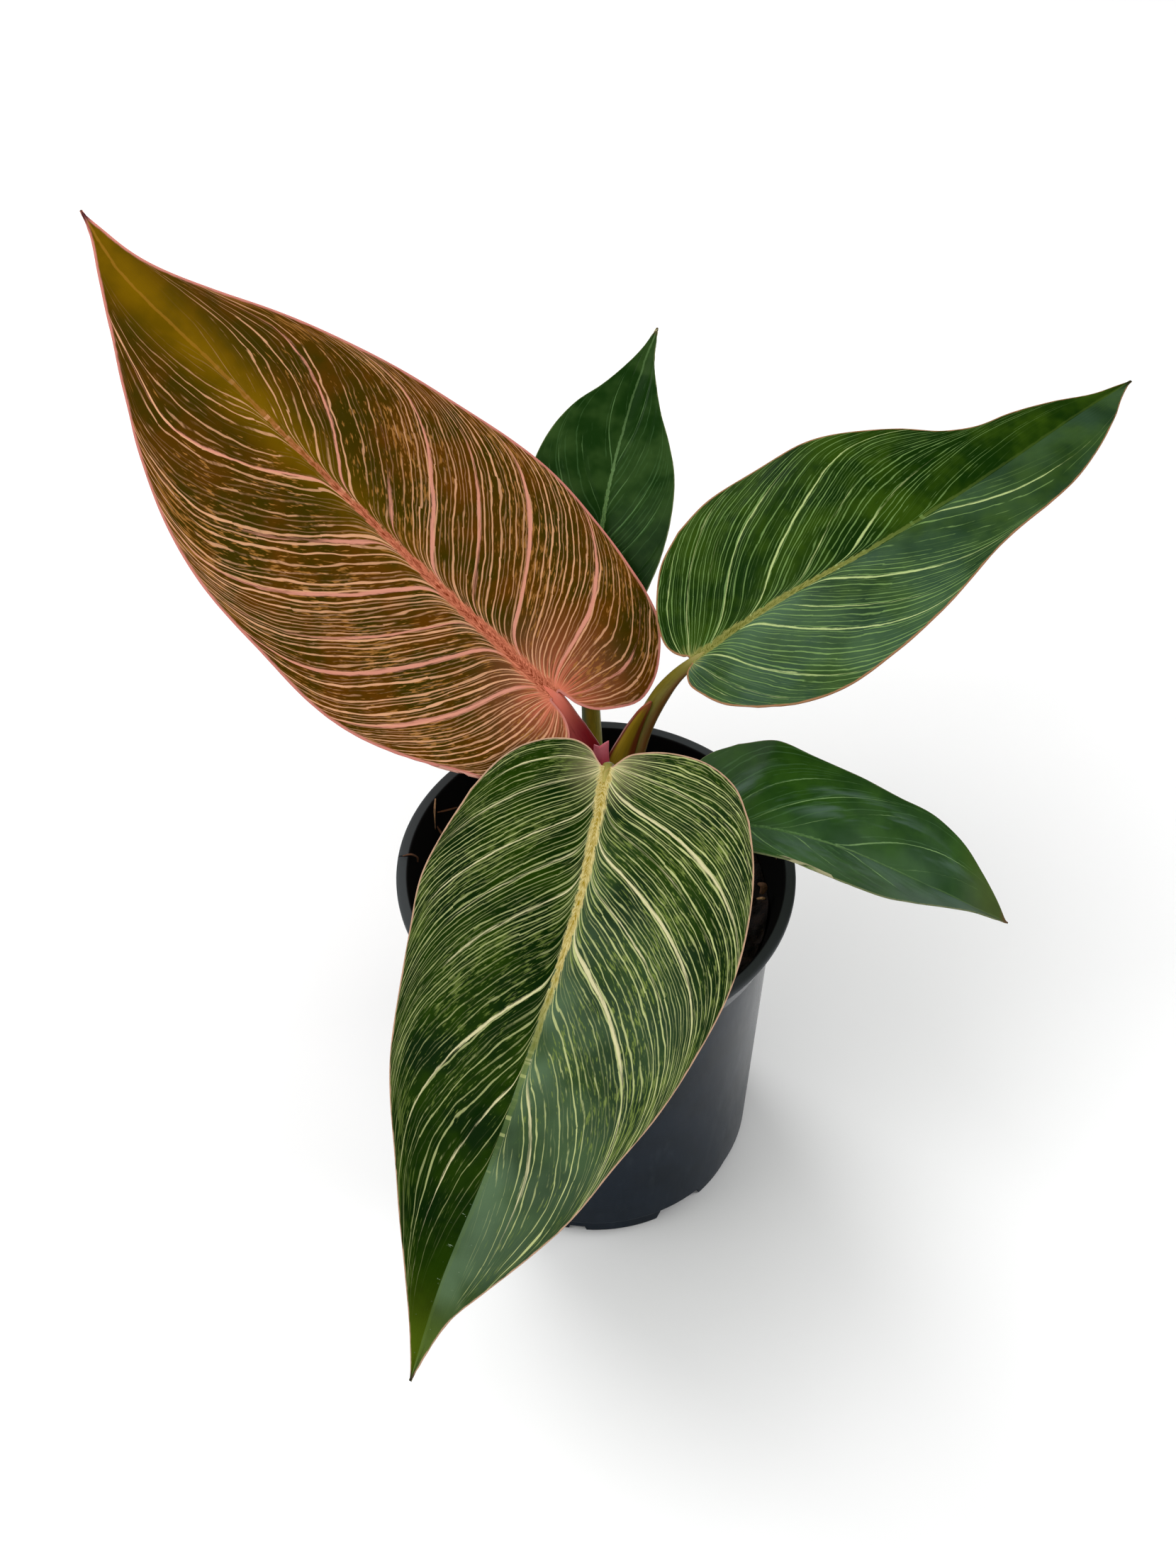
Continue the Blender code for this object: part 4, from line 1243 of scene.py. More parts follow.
@dataclass(frozen=True)
class StalkFinish:
    """How a stalk is coloured, from one side round to its far side, and along its edges. The change from side
    to side is partly the stalk's own two tones and partly painted light and shade, one side coloured as lit
    and the other as shaded.
    """

    name: str
    # The skin colour and the far side's colour are partly painted light and shade: lit and shaded tones.
    skin: Color
    far_side_shading: Color
    streak: Color
    edge: Color
    end: Color
    turn_from: float = -0.7
    turn_to: float = 0.6
    edge_width: float = 0.03
    edge_strength: float = 0.8
    end_start: float = 0.86
    roughness: float = 0.36
    gloss: float = STALK_GLOSS

    def build(self) -> Material:
        """Build the material.

        Returns:
            The material, which reads the stalk's skin values: the share round it, mm along it and the
            share along it.
        """
        skin = Skin(self.name)
        around, reach, share = skin.read("skin")
        patches, grain = skin.mottle(5.0, 0.4)
        turn = (around * (2 * math.pi)).math("COSINE")
        depth = (around * (2 * math.pi)).math("SINE")
        # Partly painted light and shade: one side coloured as lit and the other as shaded, over the own two
        # tones.
        color = skin.mix(turn.ease(self.turn_from, self.turn_to), self.far_side_shading, self.skin)
        fibre = skin.clouds((turn * 7.0, depth * 7.0, reach * 0.16), ROUGH)
        color = color.coat(fibre.ease(0.5, 0.72, 0.0, 0.65), self.streak).coat(patches * 0.25, self.streak)
        edge = abs(turn).ease(1.0 - 2.0 * self.edge_width, 1.0 - self.edge_width, 0.0, self.edge_strength)
        color = color.coat(edge, self.edge).coat(share.ease(self.end_start, 1.0), self.end)
        height = fibre.times(0.7, grain * 0.2)
        return skin.finish(color, fibre.times(0.2, self.roughness - 0.1), self.gloss, height, 0.25, 0.5)


def sweep(name: str, route: Array, face: Point, section: Callable[[Array, Array], tuple],
          sides: int) -> Object:
    """Sweep a closed section along a route, with its ends closed.

    Args:
        name: The new piece's name.
        route: The route's points in mm, evenly spaced.
        face: The way that the section's upper side looks.
        section: Gives the distances across and up for angles round the section and shares along it.
        sides: How many faces it has round it.

    Returns:
        The piece, with its skin values.
    """
    rows = len(route) + 1
    item, around, _ = add_grid(name, sides, rows)
    row = np.rint((read_points(item)[:, 1] + 0.5) * rows).astype(int)
    station = np.clip(row - 1, 0, len(route) - 1)
    share = station / (len(route) - 1)
    forward = unit(np.gradient(route, axis=0))
    up = unit(np.array(face) - (forward @ np.array(face))[:, None] * forward)
    right = np.cross(forward, up)
    across, rise = section(2 * np.pi * around, share)
    closed = (row == 0) | (row == rows)
    across = np.where(closed, 0.0, across)
    rise = np.where(closed, 0.0, rise)
    write_points(item, route[station] + right[station] * across[:, None] + up[station] * rise[:, None])
    add_values(item, "skin", np.stack([around, distances(route)[station], share], axis=-1))
    close_body(item)
    return item


def close_body(item: Object) -> None:
    """Merge a rolled-up grid's seam and poles, and point its faces outwards."""
    with edit_mode(item):
        bpy.ops.mesh.remove_doubles(threshold=TOUCHING)
        bpy.ops.mesh.normals_make_consistent(inside=False)


@dataclass(frozen=True, kw_only=True)
class Stalk:
    """A stalk with a closed section. Sizes are in millimetres.

    width and depth are the section's half sizes from foot to end, and cup is how far its two sides rise
    towards face, the direction that its hollow side looks in.
    """

    name: str
    node: str
    route: Points
    face: Point
    width: tuple[float, ...]
    depth: tuple[float, ...]
    cup: tuple[float, ...]
    finish: StalkFinish
    rows: int = 90
    sides: int = 40

    def middle(self) -> Array:
        """Give the stalk's smooth middle line."""
        return smooth_curve(self.route, self.rows)

    def section(self, angle: Array, share: Array) -> tuple[Array, Array]:
        """Give the section's distances across and up."""
        rise = along(self.depth, share) * np.sin(angle) + along(self.cup, share) * np.cos(angle) ** 2
        return along(self.width, share) * np.cos(angle), rise

    def shape_end(self, item: Object) -> None:
        """Leave the swept end as it is."""

    def build(self) -> None:
        """Build the stalk."""
        item = sweep(self.name, self.middle(), self.face, self.section, self.sides)
        self.shape_end(item)
        dress_piece(item, 60.0, self.finish.build())
        place_piece(item, self.node)


@dataclass(frozen=True, kw_only=True)
class Petiole(Stalk):
    """A petiole, whose route goes from inside the stem to its blade.

    drop is how far under the blade it ends, and inlet and dip how far it runs on into the blade's midrib
    and down.
    """

    blade: Blade
    drop: float = 1.15
    inlet: float = 5.0
    dip: float = 0.25

    def middle(self) -> Array:
        """Give the middle line, which runs on into the blade's midrib."""
        start, right, up = self.blade.stand(np.array(0.0))
        end = start - up * self.drop
        last = end + np.cross(up, right) * self.inlet - up * self.dip
        return smooth_curve(self.route + (tuple(end), tuple(last)), self.rows)


PETIOLES = (
    Petiole(
        name="pink_petiole", node="petiole_pink", blade=BLADES[0],
        route=((4.2, 11.8, 129), (3, 12.6, 137), (0.5, 13.5, 148), (-2.5, 15, 160), (-7.5, 17, 172)),
        face=(0.5, -0.7, 0.5), width=(3.0, 3.8, 4.5, 5.2, 5.6, 5.0, 3.0, 1.4),
        depth=(1.4, 1.8, 1.7, 1.5, 1.5, 1.5, 1.4, 1.0), cup=(0.4, 1.2, 2.0, 2.0, 1.0, 0.5, 0.2, 0.0),
        finish=StalkFinish("pink_petiole_skin", skin=(122, 16, 28), far_side_shading=(196, 92, 88),
                           streak=(108, 14, 26), edge=(206, 116, 112), end=(204, 108, 84),
                           edge_width=0.02, end_start=0.66)),
    Petiole(
        name="front_petiole", node="petiole_front", blade=BLADES[1],
        route=((3, 9, 124), (3, 3, 136), (4, 0, 152), (4, -1, 168)),
        face=(0.0, 1.0, 0.3), width=(3.6, 3.2, 3.0, 2.8, 2.0, 1.3), depth=(2.4, 2.4, 2.5, 2.3, 1.4, 1.0),
        cup=(0.6, 0.6, 0.4, 0.3, 0.2, 0.0),
        finish=StalkFinish("front_petiole_skin", skin=(112, 112, 36), far_side_shading=(84, 92, 30),
                           streak=(70, 76, 24), edge=(140, 100, 60), end=(160, 148, 70))),
    Petiole(
        name="right_petiole", node="petiole_right", blade=BLADES[2],
        route=((7, 13.2, 127), (9.2, 15.6, 140), (10.6, 17.4, 155), (16, 20.3, 177)),
        face=(-0.55, -0.7, 0.4), width=(3.2, 3.4, 3.6, 3.4, 3.1, 2.9, 2.6, 1.9, 1.2),
        depth=(2.2, 2.2, 2.2, 2.2, 2.3, 2.3, 2.2, 1.5, 1.0),
        cup=(0.4, 0.5, 0.5, 0.4, 0.3, 0.2, 0.2, 0.2, 0.0),
        finish=StalkFinish("right_petiole_skin", skin=(98, 58, 22), far_side_shading=(106, 98, 26),
                           streak=(82, 66, 22), edge=(88, 52, 24), end=(134, 126, 54),
                           turn_from=0.2, turn_to=1.0, edge_width=0.08, edge_strength=0.3)),
    Petiole(
        name="back_petiole", node="petiole_back", blade=BLADES[3],
        route=((2, 15, 122), (0, 22, 134), (-1, 31, 150), (-1.8, 43, 168)),
        face=(0.0, -0.6, 0.8), width=(3.4, 3.2, 3.0, 2.7, 1.8, 1.2), depth=(2.4, 2.4, 2.5, 2.2, 1.4, 1.0),
        cup=(0.5, 0.5, 0.3, 0.2, 0.1, 0.0),
        finish=StalkFinish("back_petiole_skin", skin=(124, 116, 26), far_side_shading=(48, 66, 14),
                           streak=(74, 78, 18), edge=(84, 84, 24), end=(90, 110, 50),
                           turn_from=-0.85, turn_to=-0.3, edge_strength=0.3)),
    Petiole(
        name="low_petiole", node="petiole_low", blade=BLADES[4],
        route=((6, 9, 121), (12, 6, 128), (19, 3, 138), (24, 1, 145)),
        face=(-0.6, 0.3, 0.8), width=(3.4, 3.0, 2.8, 2.5, 1.8, 1.2), depth=(2.4, 2.3, 2.3, 2.0, 1.4, 1.0),
        cup=(0.5, 0.4, 0.3, 0.2, 0.1, 0.0),
        finish=StalkFinish("low_petiole_skin", skin=(96, 104, 34), far_side_shading=(66, 80, 26),
                           streak=(58, 68, 22), edge=(110, 90, 50), end=(100, 120, 60))),
)


@dataclass(frozen=True)
class Sheath:
    """The right petiole's sheath: a cupped leaf-like flange that ends in a point. Sizes are in mm.

    left and right are its edges from base to tip, and bulge is how far its middle stands out to face.
    """

    left: Points = ((2.5, 10.5, 128), (2.0, 12.0, 145), (3.1, 13.5, 163.5), (6.6, 14.5, 171.8),
                    (10.0, 15.5, 178.5), (13.4, 17.2, 182.4), (15.6, 18.6, 183.2))
    right: Points = ((8.5, 13.5, 128), (9.5, 15.2, 145), (10.8, 16.0, 162), (12.8, 17.2, 172.0),
                     (14.6, 18.0, 178.6), (15.6, 18.6, 181.8), (15.9, 18.9, 183.0))
    face: Point = (-0.35, -0.85, 0.4)
    bulge: float = 1.3
    length: float = 60.0
    thickness: float = 0.8
    rows: int = 80
    columns: int = 24

    def dress(self) -> Material:
        """Build the sheath's ochre skin with its red-brown edges and tip."""
        skin = Skin("sheath_skin")
        around, _, share = skin.read("skin")
        fibre = skin.clouds((around * 14.0, share * 2.5), ROUGH)
        color = skin.mix(around.ease(0.1, 0.8), (158, 128, 22), (126, 98, 14))
        color = color.coat(fibre.ease(0.48, 0.7, 0.0, 0.6), (104, 88, 16))
        place = around + (fibre - 0.5) * 0.14
        color = color.coat(place.ease(0.70, 0.86), (96, 40, 14))
        color = color.coat(place.ease(0.16, 0.05), (112, 48, 28))
        color = color.coat(share.ease(0.9, 0.99), (138, 70, 40))
        return skin.finish(color, fibre.times(0.2, 0.3), STALK_GLOSS, fibre, 0.25, 0.5)

    def build(self) -> None:
        """Build the sheath."""
        item, u, v = add_grid("right_sheath", self.columns, self.rows)
        start = along(smooth_curve(self.left), v)
        end = along(smooth_curve(self.right), v)
        swell = self.bulge * np.sin(np.pi * u) * np.sin(np.pi * (0.15 + 0.85 * v) ** 0.8) ** 0.6
        write_points(item, lerp(start, end, u[:, None]) + np.array(self.face) * swell[:, None])
        add_values(item, "skin", np.stack([u, self.length * v, v], axis=-1))
        solid = item.modifiers.new("thickness", "SOLIDIFY")
        solid.thickness = self.thickness * MM
        solid.offset = 0.0
        apply_modifiers(item)
        with edit_mode(item):
            bpy.ops.mesh.remove_doubles(threshold=TOUCHING)
        dress_piece(item, 50.0, self.dress())
        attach(item, BODY)


@dataclass(frozen=True, kw_only=True)
class LeafTip(Stalk):
    """The rolled tip of the next leaf, which ends in two small lobes.

    lobe is how high the lobes stand, lobe_reach how far down the tip they begin, left_lobe the left
    one's height as a share and lean how far they lean to the right.
    """

    lobe: float = 3.4
    lobe_reach: float = 5.0
    left_lobe: float = 0.75
    lean: float = 0.5

    def shape_end(self, item: Object) -> None:
        """Draw the two lobes up."""
        points = read_points(item) / MM
        middle = self.middle()[-1]
        near_end = np.clip((points[:, 2] - middle[2] + self.lobe_reach) / self.lobe_reach, 0.0, 1.0) ** 2
        side = np.clip((points[:, 0] - middle[0]) / self.width[-1], -1.0, 1.0)
        lift = np.where(side > 0, 1.0, self.left_lobe) * np.abs(side) ** 1.3
        points[:, 2] += self.lobe * near_end * lift
        points[:, 0] += self.lean * near_end * np.abs(side) ** 2
        write_points(item, points)


LEAF_TIP = LeafTip(
    name="leaf_tip", node="bud",
    route=((5.2, 9.2, 138.3), (4.4, 10.0, 148), (3.0, 11.2, 157), (1.5, 12.4, 166), (1.0, 13.0, 169.5)),
    face=(0.0, -1.0, 0.2), width=(1.6, 1.7, 1.8, 2.0, 2.2, 2.2), depth=(1.5, 1.4, 1.3, 1.1, 0.9, 0.5),
    cup=(0.0, 0.9), rows=60, sides=36,
    finish=StalkFinish("leaf_tip_skin", skin=(180, 56, 74), far_side_shading=(140, 26, 44),
                       streak=(128, 24, 40), edge=(200, 120, 124), end=(186, 92, 104), end_start=0.8,
                       roughness=0.42))


def dress_stem() -> None:
    """Give the stem a woody green skin with pale rings."""
    skin = Skin("stem_skin")
    x, y, z = skin.place.split()
    patches, _ = skin.mottle(3.0, 0.5)
    rings = skin.clouds((x * 60.0, y * 60.0, z * 900.0), ROUGH)
    color = skin.mix(patches, (70, 72, 26), (104, 92, 40))
    color = color.coat(rings.ease(0.5, 0.7, 0.0, 0.7), (120, 78, 44))
    material = skin.finish(color, rings.times(0.3, 0.4), STALK_GLOSS, rings, 0.3, 0.6)
    stem = bpy.data.objects["stem"]
    stem.data.materials.clear()
    stem.data.materials.append(material)


# The pot and what fills it


def round_corners(corners: Sequence[tuple[float, float, float]], steps: int = 5) -> list[Pair]:
    """Round off the corners of a line.

    Args:
        corners: Radius, height and rounding of each corner, in mm.
        steps: How many parts each rounding has.

    Returns:
        The rounded line's points.
    """
    line = []
    for index, (radius, height, rounding) in enumerate(corners):
        here = np.array((radius, height))
        if not rounding or index in (0, len(corners) - 1):
            line.append((radius, height))
            continue
        before = np.array(corners[index - 1][:2]) - here
        after = np.array(corners[index + 1][:2]) - here
        start = here + before / np.linalg.norm(before) * rounding
        end = here + after / np.linalg.norm(after) * rounding
        for share in np.linspace(0.0, 1.0, steps + 1):
            line.append(tuple(lerp(lerp(start, here, share), lerp(here, end, share), share)))
    return line


def revolve(name: str, line: Sequence[Pair], sides: int,
            raise_by: Callable[[Array, Array], Array] | None = None) -> Object:
    """Turn a line round the upright axis to a closed body.

    Args:
        name: The new piece's name.
        line: Radius and height of each point, from one point on the axis to another.
        sides: How many faces it has round it.
        raise_by: Gives how far each point is raised, from the points and each one's place on the line.

    Returns:
        The piece.
    """
    item, u, turn = add_grid(name, len(line) - 1, sides)
    place = np.rint(u * (len(line) - 1)).astype(int)
    radius, height = np.array(line).T
    angle = 2 * np.pi * turn
    points = np.stack([radius[place] * np.cos(angle), radius[place] * np.sin(angle), height[place]], axis=-1)
    if raise_by:
        points[:, 2] += raise_by(points, place)
    write_points(item, points)
    close_body(item)
    return item


@dataclass(frozen=True)
class Notch:
    """A notch in the pot's foot: its width and height in mm and the first one's angle in degrees."""

    width: float
    height: float
    turn: float
    drained: bool
    top_share: float = 0.74


@dataclass(frozen=True)
class NurseryPot:
    """The moulded pot, with a rolled lip, a collar and a notched foot. Sizes are in millimetres."""

    rim_radius: float = 60.0
    height: float = 128.0
    lip_width: float = 3.5
    lip_drop: float = 2.6
    collar_top: float = 58.4
    collar_foot: float = 55.9
    collar_foot_z: float = 114.5
    body_top: float = 54.0
    body_foot: float = 49.4
    foot_step_z: float = 7.0
    foot_radius: float = 47.5
    wall: float = 1.5
    floor: float = 8.6
    pocket_radius: float = 40.0
    drain_radius: float = 2.6
    drain_depth: float = 1.8
    drain_lift: float = 0.6
    drain_sides: int = 32
    seam_place: float = 5.4
    notches: tuple[Notch, ...] = (Notch(18.0, 6.7, 35.0, drained=True), Notch(6.5, 2.6, -7.0, drained=False))
    notches_of_each: int = 4
    sides: int = 192

    def line(self) -> list[Pair]:
        """Give the wall's line from under the foot over the lip to the floor."""
        lip_foot = self.height - self.lip_drop
        inner_lip = self.rim_radius - self.lip_width
        return round_corners([
            (0.0, 0.6, 0.0), (self.pocket_radius - 8.0, 0.6, 0.3), (self.pocket_radius - 7.0, 0.0, 0.3),
            (self.foot_radius, 0.0, 0.8), (self.foot_radius + 0.4, self.foot_step_z - 1.0, 0.3),
            (self.foot_radius + 0.7, self.foot_step_z, 0.25), (self.body_foot, self.foot_step_z + 0.4, 0.5),
            (self.body_top, self.collar_foot_z, 0.3), (self.collar_foot, self.collar_foot_z, 0.6),
            (self.collar_top, lip_foot, 0.35), (self.rim_radius, lip_foot, 0.8),
            (self.rim_radius, self.height, 1.0), (inner_lip, self.height, 0.6),
            (inner_lip - 0.7, self.height - self.wall - 1.0, 0.5),
            (self.body_top - self.wall, self.collar_foot_z - self.wall, 0.8),
            (self.body_foot - self.wall, self.floor + 2.0, 1.0), (self.body_foot - 4.0, self.floor, 1.0),
            (0.0, self.floor, 0.0)])

    def add_wedge(self, notch: Notch, turn: Matrix) -> Object:
        """Add the body that cuts one notch."""
        select_only()
        bpy.ops.mesh.primitive_cube_add(size=1.0)
        wedge = bpy.context.object
        reach = (self.rim_radius - self.pocket_radius) * MM
        middle = -(self.pocket_radius + self.rim_radius) / 2 * MM
        for vertex in wedge.data.vertices:
            across, back, up = vertex.co
            wide = notch.width * MM * (notch.top_share if up > 0 else 1.0)
            vertex.co = (across * wide, back * reach + middle, notch.height * MM if up > 0 else -MM)
        wedge.data.transform(turn)
        return wedge

    def add_drain(self, notch: Notch, turn: Matrix) -> Object:
        """Add the body that cuts the drain hole over one notch."""
        select_only()
        bpy.ops.mesh.primitive_cylinder_add(vertices=self.drain_sides, radius=self.drain_radius * MM,
                                            depth=self.drain_depth * MM)
        drain = bpy.context.object
        distance = (self.pocket_radius + self.foot_radius) / 2 * MM
        shift = Matrix.Translation((0.0, -distance, (notch.height + self.drain_lift) * MM))
        drain.data.transform(turn @ shift)
        return drain

    def add_cutters(self) -> Object:
        """Add one body for each notch and drain hole, joined to one object."""
        parts = []
        for notch in self.notches:
            for index in range(self.notches_of_each):
                angle = math.radians(notch.turn + 360.0 / self.notches_of_each * index)
                turn = Matrix.Rotation(angle, 4, "Z")
                parts.append(self.add_wedge(notch, turn))
                if notch.drained:
                    parts.append(self.add_drain(notch, turn))
        return join(parts)

    def dress(self) -> Material:
        """Build the pot's dark plastic, with dust and an inner wall painted near-black, which is painted
        shade.
        """
        skin = Skin("moulded_plastic")
        x, y, z = skin.place.split()
        patches, grain = skin.mottle(22.0, 0.5)
        mid_wall = z.ease(113.5 * MM, 125.5 * MM, 53.4 * MM, 57.0 * MM)
        inside = (skin.length(x, y) - mid_wall).ease(0.3 * MM, -0.3 * MM) * z.ease(108.0 * MM, 110.0 * MM)
        dust = skin.clouds((x * 160.0, y * 160.0, z * 45.0), DUSTY)
        lip = z.ease(125.0 * MM, 127.5 * MM)
        seam = abs(y - self.seam_place * MM).ease(0.45 * MM, 0.2 * MM) * x.math("LESS_THAN")
        color = skin.mix(patches, (9, 21, 31), (15, 27, 39))
        color = color.coat(dust.ease(0.5, 0.8, 0.0, 0.12), (84, 94, 100))
        color = color.coat(lip * 0.85, (66, 69, 70)).coat(seam * (lip * 0.8), (14, 15, 16))
        # Painted shade: the inner wall is coloured near-black for the shadow inside the pot.
        color = color.coat(inside, (13, 12, 12))
        rough = inside.choose((dust.times(0.22, 0.30), 0.8))
        polish = z.ease(15.0 * MM, 95.0 * MM, 0.25, 0.9) * (1.0 - inside.most(lip))
        skin.feed(skin.shader["Coat Weight"], polish)
        skin.shader["Coat IOR"].default_value = 1.11
        skin.shader["Coat Roughness"].default_value = 0.2
        return skin.finish(color, rough, 0.03, grain, 0.06, 0.35)

    def build(self) -> None:
        """Build the pot."""
        item = revolve("nursery_pot", self.line(), self.sides)
        cutter = self.add_cutters()
        cut = item.modifiers.new("notches", "BOOLEAN")
        cut.object = cutter
        cut.operation = "DIFFERENCE"
        cut.solver = "EXACT"
        apply_modifiers(item)
        bpy.data.objects.remove(cutter, do_unlink=True)
        dress_piece(item, 35.0, self.dress())
        place_piece(item, "pot")


@dataclass(frozen=True)
class PottingSoil:
    """The crumbly soil, with bits of bark and straw on it. Sizes are in millimetres."""

    level: float = 115.5
    edge_drop: float = 1.2
    radius: float = 52.3
    depth: float = 14.0
    ripples: Points = ((0.55, 0.20, 0.17, -0.6), (0.55, 0.20, -0.17, 1.6), (0.7, 0.37, 0.29, 2.0))
    mound: Point = (3.0, 11.0)
    mound_height: float = 2.5
    mound_reach: float = 14.0
    lump_height: float = 2.2
    lump_scale: float = 0.16
    crumbs: Points = ((1.5, 3.0, 0.42), (0.6, 9.0, 1.0))
    rings: int = 84
    sides: int = 260
    chips: int = 90
    chip_margin: float = 4.0
    chip_least: Point = (1.2, 0.8, 0.4)
    chip_most: Point = (4.5, 2.2, 1.1)
    chip_uneven: Point = (0.12, 0.1, 0.08)
    chip_dome: float = 0.25
    chip_lift: float = 0.5
    chip_tilt: Pair = (0.5, 0.3)
    chip_hue: float = 0.62
    seed: int = 7

    def height(self, x: float, y: float) -> float:
        """Give the height of the soil's crumbly top at a place."""
        ripple = sum(high * math.sin(turn_x * x + turn_y * y + start)
                     for high, turn_x, turn_y, start in self.ripples)
        away = math.hypot(x - self.mound[0], y - self.mound[1])
        mound = self.mound_height * math.exp(-(away / self.mound_reach) ** 2)
        lumps = self.lump_height * noise.noise(Vector((x, y, 0.0)) * self.lump_scale)
        crumbs = sum(high * (0.5 - noise.voronoi(Vector((x, y, layer)) * scale)[0][0])
                     for high, layer, scale in self.crumbs)
        edge = self.edge_drop * (math.hypot(x, y) / self.radius) ** 6
        return self.level + ripple + mound + lumps + crumbs - edge

    def raise_top(self, points: Array, place: Array) -> Array:
        """Raise the top's points to the crumbly height, and leave the rest."""
        lift = np.zeros(len(points))
        for index in np.nonzero(place <= self.rings)[0]:
            lift[index] = self.height(points[index, 0], points[index, 1]) - points[index, 2]
        return lift

    def dress(self) -> Material:
        """Build the soil's near-black crumb."""
        skin = Skin("potting_soil")
        patches, grain = skin.mottle(3.0, 0.6)
        color = skin.mix(patches, (14, 9, 8), (34, 22, 17))
        color = color.coat(grain.ease(0.66, 0.74) * 0.5, (86, 58, 38))
        return skin.finish(color, grain.times(0.2, 0.78), 0.2, grain, 0.5, 0.8)

    def dress_bits(self) -> Material:
        """Build the bits' colours, from dark bark to straw by each bit's own hue."""
        skin = Skin("bark_and_straw")
        hue, _, _ = skin.read("skin")
        patches, grain = skin.mottle(1.2, 0.3)
        color = skin.mix(hue.ease(0.0, 0.55), (26, 16, 12), (92, 58, 34))
        color = color.coat(hue.ease(0.55, 1.0), (214, 166, 122)).coat(patches * 0.4, (40, 26, 20))
        return skin.finish(color, grain.times(0.2, 0.7), 0.25, grain, 0.2, 0.6)

    def add_chip(self, draw: np.random.Generator) -> Object:
        """Add one flake of bark lying on the soil."""
        reach = self.radius - self.chip_margin
        x, y = draw.uniform(-1.0, 1.0, 2) * reach
        while math.hypot(x, y) > reach:
            x, y = draw.uniform(-1.0, 1.0, 2) * reach
        size = draw.uniform(self.chip_least, self.chip_most) * MM
        item, u, v = add_grid("chip", 4, 3)
        flat = read_points(item)
        uneven = [draw.uniform(-most, most, len(flat)) for most in self.chip_uneven]
        flat[:, 0] *= 1.0 - 0.5 * (2.0 * v - 1.0) ** 2 + uneven[0]
        flat[:, 1] += uneven[1]
        flat[:, 2] = self.chip_dome * np.sin(np.pi * u) + uneven[2]
        item.data.vertices.foreach_set("co", (flat * size).ravel())
        solid = item.modifiers.new("thickness", "SOLIDIFY")
        solid.thickness = float(size[2])
        apply_modifiers(item)
        tilt_x, tilt_y = (Matrix.Rotation(draw.uniform(-most, most), 4, axis)
                          for most, axis in zip(self.chip_tilt, "XY"))
        turn = Matrix.Rotation(draw.uniform(0.0, 6.3), 4, "Z")
        place = Matrix.Translation(Vector((x, y, self.height(x, y) + self.chip_lift)) * MM)
        item.data.transform(place @ turn @ (tilt_x @ tilt_y))
        add_values(item, "skin", np.full((len(item.data.vertices), 3), draw.uniform(0.0, self.chip_hue)))
        return item

    def add_straw(self, route: Points, radius: float, hue: float) -> Object:
        """Add one straw or root along a route, thinner at its ends."""

        def section(angle: Array, share: Array) -> tuple[Array, Array]:
            """Give a round section, thinner towards both ends."""
            size = radius * (0.55 + 0.45 * np.sin(np.pi * share))
            return size * np.cos(angle), 0.7 * size * np.sin(angle)

        item = sweep("straw", smooth_curve(route, 24), (0.1, 0.3, 1.0), section, 8)
        values = np.full(len(item.data.vertices) * 3, hue)
        item.data.attributes["skin"].data.foreach_set("vector", values)
        return item

    def build(self) -> None:
        """Build the soil and the bits on it."""
        top = [(self.radius * (ring / self.rings) ** 0.85, self.level) for ring in range(self.rings + 1)]
        line = top + [(self.radius, self.level - self.depth), (0.0, self.level - self.depth)]
        soil = revolve("potting_soil", line, self.sides, self.raise_top)
        dress_piece(soil, 60.0, self.dress())
        place_piece(soil, "soil")

        draw = np.random.default_rng(self.seed)
        bits = [self.add_chip(draw) for _ in range(self.chips)]
        bits += [self.add_straw(route, radius, hue) for route, radius, hue in STRAWS]
        joined = join(bits)
        joined.name = "bark_and_straw"
        dress_piece(joined, 50.0, self.dress_bits())
        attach(joined, BODY)


# Each straw's or root's route and radius in mm, and its hue from dark bark at 0 to straw at 1
STRAWS = (
    (((-49.5, 22.4, 119.3), (-49.6, 24.6, 123.5), (-49.1, 26.9, 129.2)), 0.36, 0.85),
    (((-48.6, 25.6, 124.3), (-45.9, 27.8, 122.6), (-42.8, 30.0, 121.4)), 0.40, 0.55),
    (((-49.0, 24.0, 119.8), (-47.5, 21.5, 119.2), (-45.5, 18.5, 118.6)), 0.40, 0.35),
    (((-58.2, 5.1, 128.5), (-55.7, 5.2, 129.1), (-54.0, 5.5, 127.5), (-53.9, 6.0, 124.5)), 0.40, 0.4),
    (((-47.0, 15.0, 118.4), (-46.0, 12.0, 119.0), (-46.6, 9.0, 118.2)), 0.45, 0.5),
    (((49.4, 1.8, 119.2), (50.8, -0.2, 120.2), (50.0, -2.0, 119.0)), 1.20, 0.60),
    (((48.6, -3.4, 118.4), (50.4, -3.7, 119.0), (51.2, -3.2, 118.2)), 0.60, 0.85),
    (((54.9, 8.5, 124.4), (54.8, 8.2, 123.8), (54.9, 7.9, 123.0)), 0.32, 1.0),
    (((30.0, 30.0, 118.0), (34.0, 26.0, 118.6), (36.0, 22.0, 117.8)), 0.35, 0.6),
    (((10.0, -38.0, 117.0), (16.0, -36.0, 118.2), (22.0, -37.5, 117.4)), 0.35, 0.7),
    (((-20.0, -34.0, 117.2), (-14.0, -37.0, 118.0), (-9.0, -36.0, 117.2)), 0.40, 0.55),
    (((-16.0, 40.0, 117.4), (-10.0, 42.0, 118.3), (-4.0, 41.0, 117.6)), 0.38, 0.65),
    (((18.0, 40.0, 117.4), (22.0, 37.0, 118.4), (27.0, 36.5, 117.6)), 0.40, 0.5),
)


# The studio


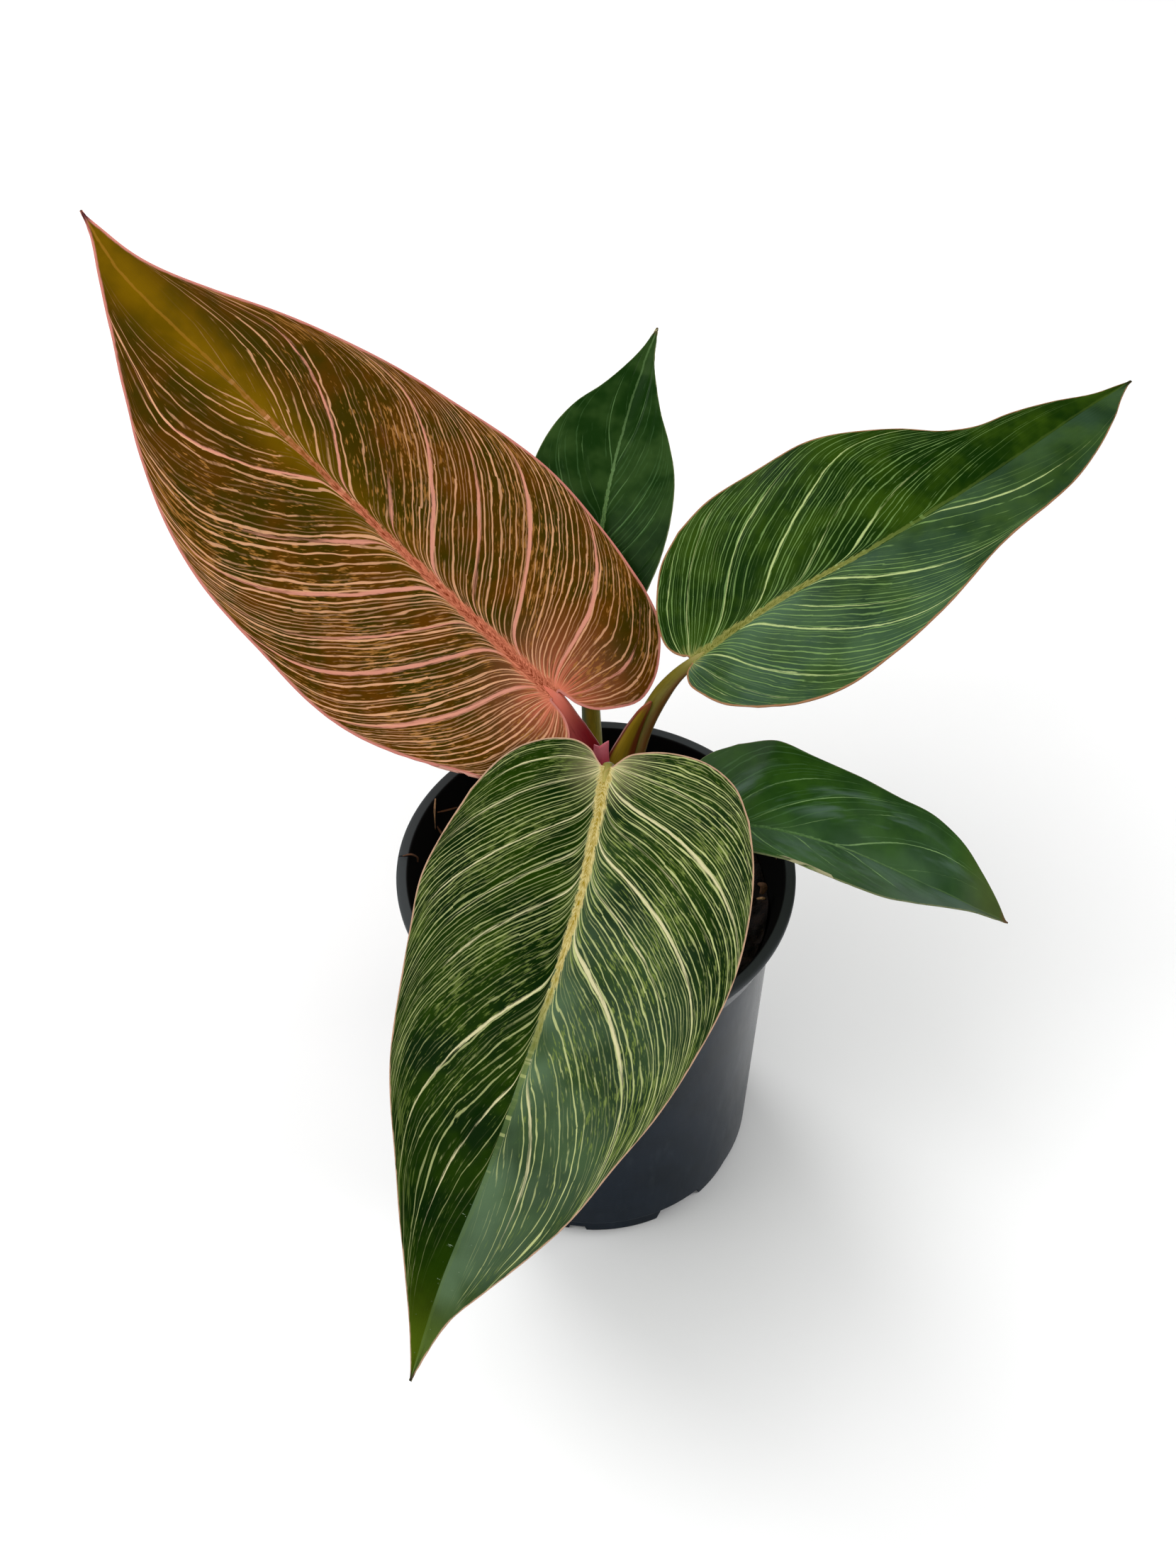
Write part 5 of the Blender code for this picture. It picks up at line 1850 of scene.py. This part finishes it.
@dataclass(frozen=True)
class PhotoCamera:
    """The camera of the photograph, worked out from the pot's rim, collar and foot."""

    place: Point = (-2.4, -528.5, 795.8)
    tilt_down: float = 49.9
    focal_length: float = 65.1
    long_side: float = 36.0

    def build(self) -> None:
        """Add the camera and look through it."""
        select_only()
        bpy.ops.object.camera_add(location=[value * MM for value in self.place],
                                  rotation=(math.radians(90.0 - self.tilt_down), 0.0, 0.0))
        camera = bpy.context.object
        camera.data.sensor_fit = "AUTO"
        camera.data.sensor_width = self.long_side
        camera.data.lens = self.focal_length
        bpy.context.scene.camera = camera


@dataclass(frozen=True)
class SoftLight:
    """One soft studio light: where it hangs and what it points at in mm, its size and its power."""

    name: str
    place: Point
    size: float
    power: float
    target: Point = (0.0, 0.0, 150.0)

    def build(self) -> None:
        """Add the light, turned to its target."""
        select_only()
        bpy.ops.object.light_add(type="AREA", location=[value * MM for value in self.place])
        lamp = bpy.context.object
        lamp.name = self.name
        lamp.data.shape = "DISK"
        lamp.data.size = self.size * MM
        lamp.data.energy = self.power
        toward = Vector(self.target) - Vector(self.place)
        lamp.rotation_euler = toward.to_track_quat("-Z", "Y").to_euler()


@dataclass(frozen=True)
class Studio:
    """The plain pale floor and the soft light."""

    floor_size: float = 6000.0
    paper: float = 0.96
    sky: float = 0.5
    lights: tuple[SoftLight, ...] = (
        SoftLight("key_light", (-450.0, -350.0, 1300.0), 1100.0, 11.0),
        SoftLight("back_light", (-700.0, 1000.0, 900.0), 700.0, 7.0),
        SoftLight("right_light", (1000.0, -100.0, 900.0), 700.0, 4.0),
    )

    def build(self) -> None:
        """Lay the floor, light the sky and hang the lights."""
        select_only()
        bpy.ops.mesh.primitive_plane_add(size=self.floor_size * MM)
        floor = bpy.context.object
        floor.name = "floor"
        paper = Skin("floor_paper")
        floor.data.materials.append(paper.finish(WHITE, 0.9, 0.1))
        paper.shader["Base Color"].default_value = (*[self.paper] * 3, 1.0)
        world = bpy.data.worlds.new("soft_sky")
        world.use_nodes = True
        background = world.node_tree.nodes["Background"]
        background.inputs["Color"].default_value = linear(WHITE)
        background.inputs["Strength"].default_value = self.sky
        scene = bpy.context.scene
        scene.world = world
        scene.view_settings.view_transform = "Standard"
        for light in self.lights:
            light.build()


def main() -> None:
    """Build the camera, the studio and every piece in order."""
    logging.basicConfig(level=logging.INFO, format="%(message)s")
    stages = (PhotoCamera(), Studio(), NurseryPot(), PottingSoil(), *BLADES, *PETIOLES, Sheath(), LEAF_TIP)
    for stage in stages:
        stage.build()
    dress_stem()


if __name__ == "__main__":
    main()
